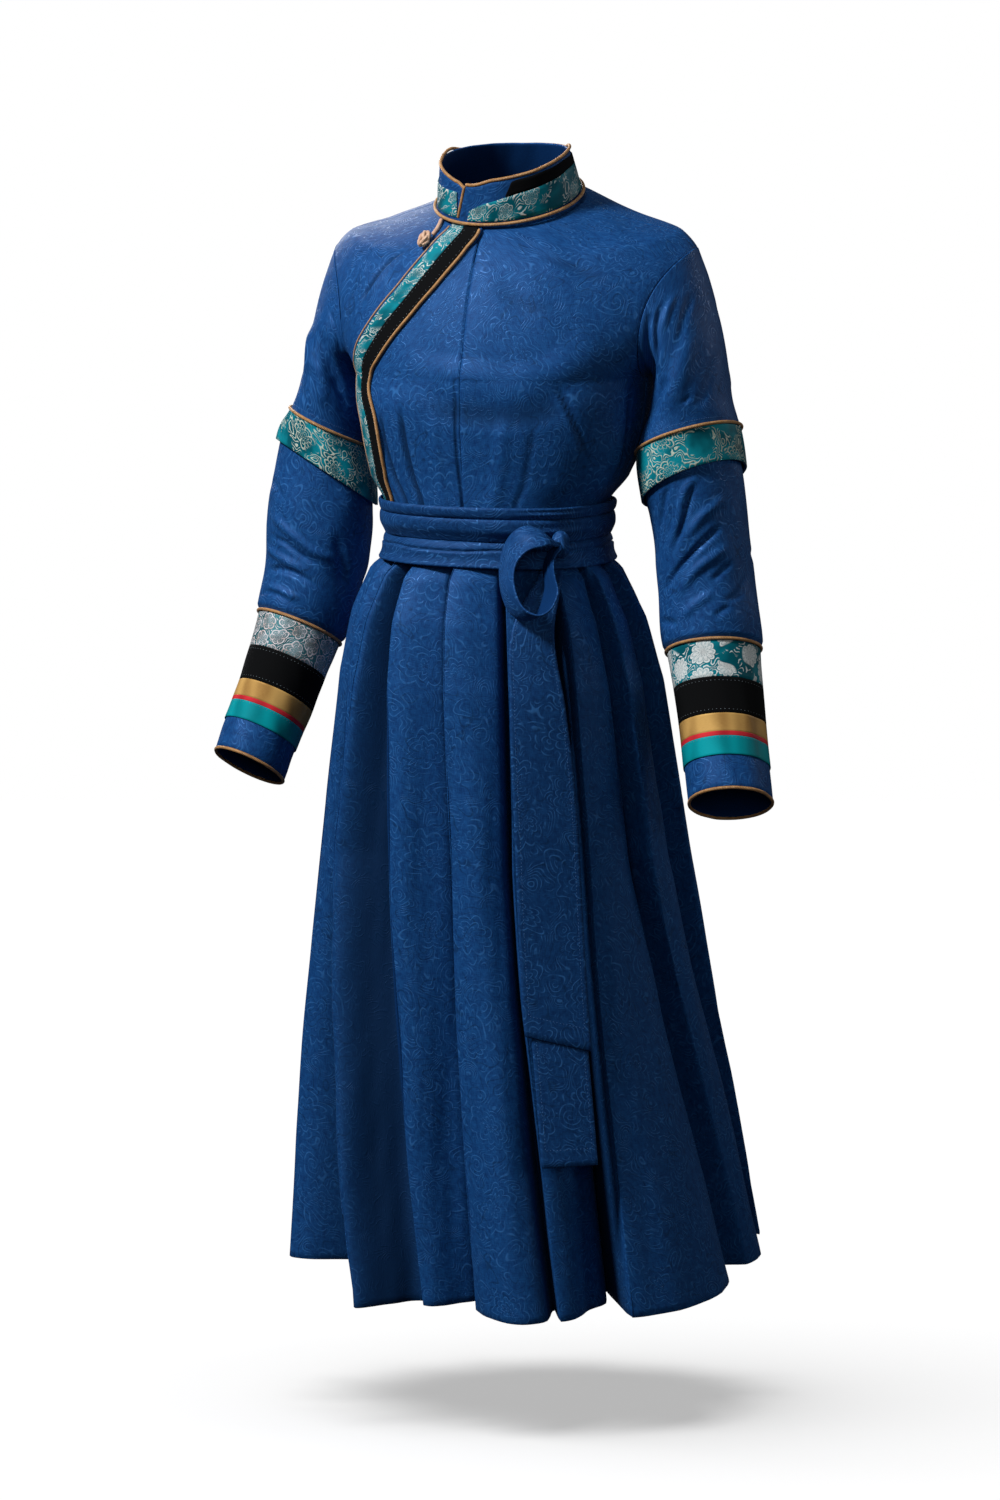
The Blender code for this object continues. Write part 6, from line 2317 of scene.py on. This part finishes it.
LEFT_UNDER_CREASES = rows_of(
    Crease,
    (((60, 4.12), (85, 4.40), (99, 4.78), (129, 5.36)), 7.0, 2.6),
    (((100, 4.16), (112, 4.40), (133, 4.90)), 5.2, -3.0),
    (((70, 4.26), (81, 4.55), (94, 4.86), (110, 5.20)), 4.4, -2.6),
    (((32, 4.55), (52, 4.66), (70, 4.78), (104, 5.18)), 7.0, 2.8),
    (((42, 4.88), (60, 5.04), (78, 5.21), (113, 5.58), (137, 5.87)), 5.4, -4.0),
    (((39, 5.20), (62, 5.38), (85, 5.58), (116, 5.99)), 7.5, 3.2),
    (((36, 5.44), (52, 5.60), (68, 5.80)), 5.0, -2.2),
    (((46, 6.16), (58, 6.26), (70, 6.42)), 5.0, -2.0),
    (((60, 5.90), (86, 6.10), (110, 6.36)), 7.0, 2.0),
    (((112, 6.46), (128, 6.34), (148, 6.26)), 7.0, -3.0),
    (((14, 5.60), (34, 5.96), (60, 6.12)), 6.0, -1.6),
    *UNDER_BACK,
)


# ---- Skirt ----
@dataclass(frozen=True)
class Skirt:
    """The skirt: six gores whose seams lie at fold edges, and the knife pleats between them."""

    form: SkirtForm = SkirtForm()
    seams: tuple[int, ...] = (0, 2, 4, 7, 9, 12)
    words: tuple[str, ...] = ("front_right", "front", "side_left", "back_left", "back_right", "side_right")
    columns: int = 32  # of each pleat
    back_columns: int = 5  # of them, from its valley to the next fold edge
    rows: int = 124
    row_power: float = 1.12
    waves: float = 0.0016
    fine_waves: float = 0.0004

    def shares(self) -> Array:
        """Spaces a pleat's columns, closest at its fold edge and its valley.

        Returns:
            Shares of the pleat's width.
        """
        valley = self.form.valley
        even = np.linspace(0, 1, self.columns - self.back_columns, endpoint=False)
        outer = valley * (1 - np.cos(math.pi * even)) / 2
        return np.concatenate([outer, np.linspace(valley, 1, self.back_columns + 1)[:-1]])

    def build(self) -> None:
        """Makes the gores."""
        make = Make(Stuff.CLOTH, Stuff.REVERSE, CLOTH, "gathered")
        down = np.linspace(0, 1, self.rows) ** self.row_power
        for word, start, end in zip(self.words, self.seams, (*self.seams[1:], len(self.form.pleats))):
            columns = np.concatenate([pleat + self.shares() for pleat in range(start, end)] + [[end]])
            columns, shares = np.meshgrid(columns, down)
            points = self.form.point(columns, shares)
            # The columns run to the wearer's left and the rows down, so the normals are turned round.
            outward = -normals_of(self.form.point, columns, shares)
            bare = ease((shares - 0.08) / 0.3)
            angle = np.arctan2(points[..., 0], -points[..., 1])
            waves = ripple(angle * 2.1, points[..., 2] / 0.42, 0.9 + 0.4 * start)
            fine = ripple(angle * 7.0, points[..., 2] / 0.19, 2.1 + start)
            points = points + outward * (bare * (self.waves * waves + self.fine_waves * fine))[..., None]
            points = drawn_in(points, outward, (True, True), 0.0003, 0.0015)
            # shade painted into the cloth's colour inside the tucks
            folded = self.form.folded(columns, shares)
            grid = Grid(points, outward, grain=points.shape[1] // 2, folded=folded)
            make.sew(f"skirt_{word}", grid, ["sash_bottom"])


# ---- Sash ----
class SashTurn(NamedTuple):
    """A turn of the sash: the heights of its edges, and how far it stands out from the waist."""

    name: str
    top: float
    bottom: float
    out: float


class LoopPoint(NamedTuple):
    """A point of the bow's loop, from the knot's middle."""

    along: float
    up: float


class TailLevel(NamedTuple):
    """A level of a hanging tail: where its middle is, and how wide the tail is."""

    z: float
    degrees: float
    width: float


@dataclass(frozen=True)
class Sash:
    """The sash: three turns round the waist, a knot, a loop and two tails."""

    waist: WaistForm
    turns: tuple[SashTurn, ...] = rows_of(
        SashTurn,
        ("top", -0.3030, -0.3150, 0.0056),
        ("middle", -0.3155, -0.3385, 0.0068),
        ("bottom", -0.3390, -0.3640, 0.0060),
    )
    gathered_in: float = 0.0035  # how far the bottom turn's lower edge is drawn in
    knot_reach: float = 0.32  # radians round the knot where the turns are drawn together
    edge_roll: float = 0.0016
    columns: int = 360
    rows: int = 22
    loop_rows: int = 110
    tail_rows: int = 120
    angle: float = math.radians(47.5)
    level: float = -0.3395
    knot_size: tuple[float, float, float] = (0.0090, 0.0095, 0.0140)
    knot_out: float = 0.0215
    loop: tuple[LoopPoint, ...] = rows_of(
        LoopPoint,
        (-0.0040, 0.0010), (-0.0125, 0.0060), (-0.0250, 0.0170), (-0.0410, 0.0205),
        (-0.0560, 0.0140), (-0.0680, -0.0010), (-0.0735, -0.0220), (-0.0720, -0.0450),
        (-0.0640, -0.0650), (-0.0500, -0.0730), (-0.0370, -0.0640), (-0.0280, -0.0450),
        (-0.0230, -0.0240), (-0.0150, -0.0090), (-0.0050, -0.0020),
    )
    loop_reach: tuple[float, float] = (0.0130, 0.0440)
    loop_leans: LoopPoint = LoopPoint(-0.010, -0.043)  # towards here the loop's outer edge is drawn
    loop_drawn: LoopPoint = LoopPoint(0.20, 0.28)  # and by this share
    throat: float = 0.30  # the loop's width in the knot, as a share of its full width
    throat_end: float = 0.22  # share of its length at which it is at full width
    front_tail: tuple[TailLevel, ...] = rows_of(
        TailLevel,
        (-0.366, 43.5, 0.024), (-0.392, 36.5, 0.034), (-0.430, 31.0, 0.043),
        (-0.500, 31.5, 0.055), (-0.580, 32.5, 0.063), (-0.700, 33.0, 0.066),
        (-0.838, 33.0, 0.067),
    )
    back_tail: tuple[TailLevel, ...] = rows_of(
        TailLevel,
        (-0.374, 41.0, 0.022), (-0.402, 35.5, 0.032), (-0.440, 31.5, 0.040),
        (-0.520, 32.0, 0.050), (-0.700, 33.0, 0.055), (-0.850, 33.5, 0.056),
        (-0.962, 33.5, 0.057),
    )
    tails_out: tuple[float, float] = (0.0110, 0.0066)
    slant: float = 0.018
    loop_pleats: float = 0.0016  # how deep the pleats are that leave the knot
    tail_pleats: float = 0.0017

    def make(self, held: str) -> Make:
        """The sash's cloth, folded double."""
        return Make(Stuff.SASH, Stuff.SASH_REVERSE, SASH_CLOTH, held)

    def build(self) -> None:
        """Makes the sash."""
        for turn in self.turns:
            self.build_turn(turn)
        self.build_knot()
        self.build_loop()
        self.build_tail("front", self.front_tail, self.tails_out[0], self.slant)
        self.build_tail("back", self.back_tail, self.tails_out[1], 0.0)

    def build_turn(self, turn: SashTurn) -> None:
        """Makes a turn whose strip rolls in at both edges and is drawn together at the knot.

        Args:
            turn: Its sizes.
        """
        around, down = np.meshgrid(round_turns(self.columns), np.linspace(0, 1, self.rows))
        z = turn.top + (turn.bottom - turn.top) * down
        gap = np.angle(np.exp(1j * (around - self.angle)))
        near = np.exp(-((gap / self.knot_reach) ** 2))
        wave = ripple(around * 0.8, 0 * around, turn.top * 900)
        roll = self.edge_roll * (np.abs(2 * down - 1) ** 4)
        slack = 0.0011 * np.sin(math.pi * down) * (0.6 + 0.5 * wave)
        pull = 0.0007 * near * np.sin(4 * math.pi * down + 0.6) + 0.0004 * wave
        if turn.name == "bottom":
            roll = roll + self.gathered_in * ease((down - 0.25) / 0.75)
            second = 0.36 + 0.04 * wave
            slack = slack - 0.0022 * bump((down - second) / 0.07) + 0.0008 * ease((down - second) / 0.05)
        points = self.waist.point(around, z, turn.out + SASH_CLOTH)
        outward = self.waist.point(around, z, turn.out + 1) - self.waist.point(around, z, turn.out)
        points = points + unit(outward) * (slack + pull - roll)[..., None]
        grid = Grid(points, outward, ring=True)
        self.make("stretched").sew(f"sash_{turn.name}", grid, ["bodice_front_overlap", "skirt_front"])

    def build_knot(self) -> None:
        """Makes the knot: the sash wound once round itself, with its folds running down and across."""
        centre = self.waist.point(self.angle, self.level, self.knot_out)
        outward = unit(centre - self.waist.point(self.angle, self.level, 0.0))
        up = np.array([0.0, 0.0, 1.0])
        along = np.cross(up, outward)
        turn, tilt = np.meshgrid(round_turns(72), np.linspace(0.12, math.pi - 0.12, 40))
        swell = 1 + 0.05 * np.cos(6 * turn + 1.5 * tilt) + 0.06 * np.cos(2 * turn + 5 * tilt)
        wide, deep, tall = self.knot_size
        ring = np.sin(tilt) ** 0.8 * swell
        points = (
            centre
            + along * (wide * ring * np.cos(turn))[..., None]
            + outward * (deep * ring * np.sin(turn))[..., None]
            + up * (tall * np.cos(tilt))[..., None]
        )
        grid = Grid(points, points - centre, ring=True)
        self.make("folded").sew("sash_knot", grid, ["sash_middle"])

    def build_loop(self) -> None:
        """Makes the half bow's loop, which narrows into the knot at both ends."""
        share = np.linspace(0, 1, self.loop_rows)
        path = smooth_rows(self.loop, share * (len(self.loop) - 1))
        round_waist = self.waist.skirt.levels[2].half_width
        inner = np.minimum(share, 1 - share)
        narrow = self.throat + (1 - self.throat) * ease(inner / self.throat_end)
        middle = (self.loop_reach[0] + self.loop_reach[1]) / 2
        half = (self.loop_reach[1] - self.loop_reach[0]) / 2 * narrow
        out = middle - 0.003 * (1 - narrow)
        strips = []
        for across in np.linspace(-1, 1, 22):
            pleat = self.loop_pleats * (1 - ease(inner / 0.3)) * math.cos(3 * math.pi * across)
            lean = ease(inner / self.throat_end) * (across + 1) / 2
            along = path.along + (self.loop_leans.along - path.along) * self.loop_drawn.along * lean
            lift = path.up + (self.loop_leans.up - path.up) * self.loop_drawn.up * lean
            lift = lift + pleat + 0.0006 * np.sin(3 * across + 9 * share)
            angle = self.angle + along / round_waist
            strips.append(self.waist.point(angle, self.level + lift, out + half * across))
        points = np.stack(strips)
        steps = np.gradient(points, axis=1), np.gradient(points, axis=0)
        outward = np.cross(steps[0], steps[1])
        grid = Grid(points, outward)
        self.make("folded").sew("sash_loop", grid, ["sash_knot"])

    def build_tail(self, word: str, levels: tuple[TailLevel, ...], out: float, slant: float) -> None:
        """Makes a hanging tail: pleated where it leaves the knot, and smooth further down.

        Args:
            word: Which one.
            levels: Its course.
            out: How far it hangs from the skirt.
            slant: How much lower its one corner hangs.
        """
        share = np.linspace(0, 1, self.tail_rows)
        row = smooth_rows(levels, share * (len(levels) - 1))
        angle = np.radians(row.degrees)
        skirt = self.waist.skirt
        middle = skirt.envelope(angle, row.z, out)
        outward = unit((skirt.envelope(angle, row.z, out + 1) - middle) * np.array([1, 1, 0]))
        sideways = np.cross((0, 0, 1), outward)
        across = np.linspace(-0.5, 0.5, 30)
        grid = middle[:, None] + sideways[:, None] * (row.width[:, None] * across)[..., None]
        grid[..., 2] -= slant * ease(np.linspace(-1, 1, len(share)))[:, None] * across
        down, side = np.meshgrid(share, across, indexing="ij")
        pleats = self.tail_pleats * (1 - ease(down / 0.34)) * np.cos(5 * math.pi * side)
        sway = 0.0016 * np.sin(7.1 * down + 1.2 * side + out * 400) + 0.0012 * np.cos(math.pi * side) - 0.001
        grid = grid + outward[:, None] * (pleats + sway * ease(down / 0.2))[..., None]
        spread = np.broadcast_to(outward[:, None], grid.shape)
        stitcher = Stitcher(SASH_STITCH)
        copies = []
        for column in (2, -3):
            copies += stitcher.line(grid[8:-3, column], spread[8:-3, column])
        copies += stitcher.line(grid[-4, 2:-2], spread[-4, 2:-2])
        thread = stitcher.sewn(f"tail_{word}_stitches", copies, Stuff.THREAD)
        self.make("hung").sew(f"sash_tail_{word}", Grid(grid, spread, grain=15), ["sash_knot"], [thread])


# ---- Toggle ----
@dataclass(frozen=True)
class Toggle:
    """The button knot and its cord, beside the top of the closure."""

    form: BodyForm = field(default_factory=BodyForm)
    radius: float = 0.0022
    route: tuple[ClosurePoint, ...] = rows_of(
        ClosurePoint,
        (1.975, -43.0), (1.920, -38.5), (1.865, -35.5), (1.820, -34.0),
    )
    spot: ClosurePoint = ClosurePoint(1.735, -32.5)
    lift: float = 0.0028
    size: tuple[float, float, float] = (0.0070, 0.0050, 0.0105)
    strand: float = 0.0016
    strands: int = 3
    bights: int = 5
    crossing: float = 0.55  # how far a strand weaves in and out, in its own radii
    braid_tilt: float = 1.12  # how far towards the knot's ends the braid runs, in radians
    braid_points: int = 420

    def build(self) -> None:
        """Makes the cord, then the knot: a braid of three strands round a small core."""
        route = smooth_rows(self.route, np.linspace(0, len(self.route) - 1, 40))
        angle, level = np.radians(route.degrees), route.level
        out = self.form.normal(angle, level)
        path = self.form.point(angle, level) + out * (self.radius + SEAM)
        dress(tube("toggle_cord", path, self.radius, out), Stuff.BRAID)
        spot = math.radians(self.spot.degrees), self.spot.level
        out = self.form.normal(*spot)
        down = unit(path[-1] - path[0])
        down = unit(down - out * np.dot(down, out))
        centre = self.form.point(*spot) + out * (self.size[1] + self.lift)
        frame = np.stack([np.cross(out, down), out, -down])
        t = np.arange(self.braid_points) / self.braid_points
        tilt = self.braid_tilt * np.sin(2 * math.pi * self.bights * t)
        turn = 2 * math.pi * self.strands * t
        weave = self.crossing * self.strand * np.sin(4 * math.pi * self.bights * t)
        ball = np.stack([np.cos(tilt) * np.cos(turn), np.cos(tilt) * np.sin(turn), np.sin(tilt)], -1)
        reach = np.array(self.size) - self.strand * 1.2
        braid = centre + (ball * (reach + weave[:, None])) @ frame
        dress(tube("toggle_knot", braid, self.strand, ball @ frame, ring=True), Stuff.BRAID)
        bpy.ops.object.select_all(action="DESELECT")
        bpy.ops.mesh.primitive_uv_sphere_add(segments=32, ring_count=20, radius=1.0)
        core = bpy.context.object
        core.name = core.data.name = "toggle_core"
        core.data.uv_layers[0].name = UV_NAME
        for vertex in core.data.vertices:
            place = np.array(vertex.co) * (reach - 0.2 * self.strand)
            vertex.co = centre + place @ frame
        core.data.shade_smooth()
        dress(core, Stuff.BRAID, node=False)


# ---- Stage ----
@dataclass(frozen=True)
class Lamp:
    """An area lamp: from where round the robe it shines, in degrees from the camera's side, and how high."""

    name: str
    azimuth: float
    height: float
    distance: float
    size: float
    power: float


@dataclass(frozen=True)
class Stage:
    """Camera, lamps, floor and surroundings."""

    azimuth: float = 22.0
    distance: float = 4.0
    eye: float = 0.12
    aim: tuple[float, float, float] = (-0.011, 0.0, -0.576)
    lens: float = 92.0
    floor: float = -1.29
    middle: tuple[float, float, float] = (0.0, 0.0, -0.5)
    lamps: tuple[Lamp, ...] = (
        Lamp("key", -58, 2.0, 2.6, 0.7, 142),
        Lamp("top", -25, 3.0, 1.2, 1.4, 14),
        Lamp("front", 4, 0.7, 3.6, 1.6, 10),
        Lamp("side", 66, 0.3, 3.4, 1.2, 9),
        Lamp("rim", 112, 0.9, 3.2, 1.0, 9),
        Lamp("back", -160, 1.1, 3.4, 1.8, 45),
    )
    sun_power: float = 1.75
    sun_angle: float = 48.0
    sun_tilt: tuple[float, float] = (4.1, -10.2)
    floor_tilt: float = 10.0  # the floor falls away behind the robe, so its shadow looks shallow
    glow: float = 0.46  # what the floor shows in full shade
    ambient: float = 0.02

    def place(self, azimuth: float, distance: float, height: float) -> tuple[float, float, float]:
        """A point round the robe: azimuth is 0 in front of it and grows towards its left."""
        angle = math.radians(azimuth)
        return distance * math.sin(angle), -distance * math.cos(angle), height

    def build(self) -> None:
        """Makes the stage."""
        scene = bpy.context.scene
        scene.view_settings.view_transform = "Standard"
        scene.view_settings.look = "None"
        camera = bpy.data.objects.new("camera", bpy.data.cameras.new("camera"))
        scene.collection.objects.link(camera)
        scene.camera = camera
        camera.data.lens = self.lens
        camera.data.sensor_fit = "VERTICAL"
        camera.data.sensor_height = 36.0
        camera.data.clip_end = 200.0
        camera.location = self.place(self.azimuth, self.distance, self.eye)
        self.turn_to(camera, self.aim)
        floor = self.build_floor()
        shadowed, lit = bpy.data.collections.new("floor_only"), bpy.data.collections.new("all_but_floor")
        for group in (shadowed, lit):
            group.objects.link(floor)
        lit.collection_objects[0].light_linking.link_state = "EXCLUDE"
        for lamp in self.lamps:
            data = bpy.data.lights.new(lamp.name, "AREA")
            data.shape = "DISK"
            data.size = lamp.size
            data.energy = lamp.power
            made = bpy.data.objects.new(lamp.name, data)
            scene.collection.objects.link(made)
            made.location = self.place(self.azimuth + lamp.azimuth, lamp.distance, lamp.height)
            made.light_linking.receiver_collection = lit
            self.turn_to(made, self.middle)
        sun = bpy.data.lights.new("sky", "SUN")
        sun.energy = self.sun_power
        sun.angle = math.radians(self.sun_angle)
        made = bpy.data.objects.new("sky", sun)
        made.rotation_euler = [math.radians(angle) for angle in (*self.sun_tilt, 0)]
        made.light_linking.receiver_collection = shadowed
        scene.collection.objects.link(made)
        self.build_world()

    def turn_to(self, thing: bpy.types.Object, target: Sequence[float]) -> None:
        """Turns a camera or lamp towards a point."""
        towards = Vector(target) - thing.location
        thing.rotation_euler = towards.to_track_quat("-Z", "Y").to_euler()

    def build_floor(self) -> bpy.types.Object:
        """Makes the white floor. Only the sky lights it, and it throws no light back.

        Returns:
            The floor.
        """
        bpy.ops.object.select_all(action="DESELECT")
        spot = (0, 0, self.floor)
        bpy.ops.mesh.primitive_circle_add(vertices=96, radius=60.0, fill_type="NGON", location=spot)
        floor = bpy.context.object
        floor.name = floor.data.name = "floor"
        floor.rotation_euler = (-math.radians(self.floor_tilt), 0, math.radians(self.azimuth))
        weave = Weave("white_paper")
        weave.surface(
            Base_Color="#ffffff",
            Roughness=1.0,
            Specular_IOR_Level=0.0,
            Emission_Color="#ffffff",
            Emission_Strength=self.glow,
        )
        floor.data.materials.append(weave.material)
        floor.visible_diffuse = False
        floor.visible_glossy = False
        return floor

    def build_world(self) -> None:
        """Makes the surroundings: white behind the robe, and a dim grey light on it."""
        world = bpy.data.worlds.new("surroundings")
        bpy.context.scene.world = world
        world.use_nodes = True
        nodes, links = world.node_tree.nodes, world.node_tree.links
        seen = nodes.new("ShaderNodeLightPath")
        mix = nodes.new("ShaderNodeMix")
        mix.data_type = "RGBA"
        links.new(seen.outputs["Is Camera Ray"], mix.inputs[0])
        mix.inputs[6].default_value = (self.ambient, self.ambient, 1.06 * self.ambient, 1)
        mix.inputs[7].default_value = (1, 1, 1, 1)
        links.new(mix.outputs[2], nodes["Background"].inputs["Color"])


# ---- The robe ----
def main() -> None:
    """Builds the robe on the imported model, and the stage round it."""
    logging.basicConfig(level=logging.INFO, format="%(message)s", stream=sys.stdout)
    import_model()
    body, skirt = BodyForm(), SkirtForm()
    Bodice(body).build()
    Collar(body.neck).build()
    left, right = ArmForm(1, body, LEFT_ARM), ArmForm(-1, body, RIGHT_ARM)
    Sleeve("left", left, LEFT_OVER_CREASES, LEFT_UNDER_CREASES, Stuff.CUFF_LEFT, 0.6).build()
    Sleeve("right", right, RIGHT_OVER_CREASES, RIGHT_UNDER_CREASES, Stuff.CUFF_RIGHT, 2.9).build()
    Skirt(skirt).build()
    Sash(WaistForm(body, skirt)).build()
    Toggle(body).build()
    Stage().build()


if __name__ == "__main__":
    main()
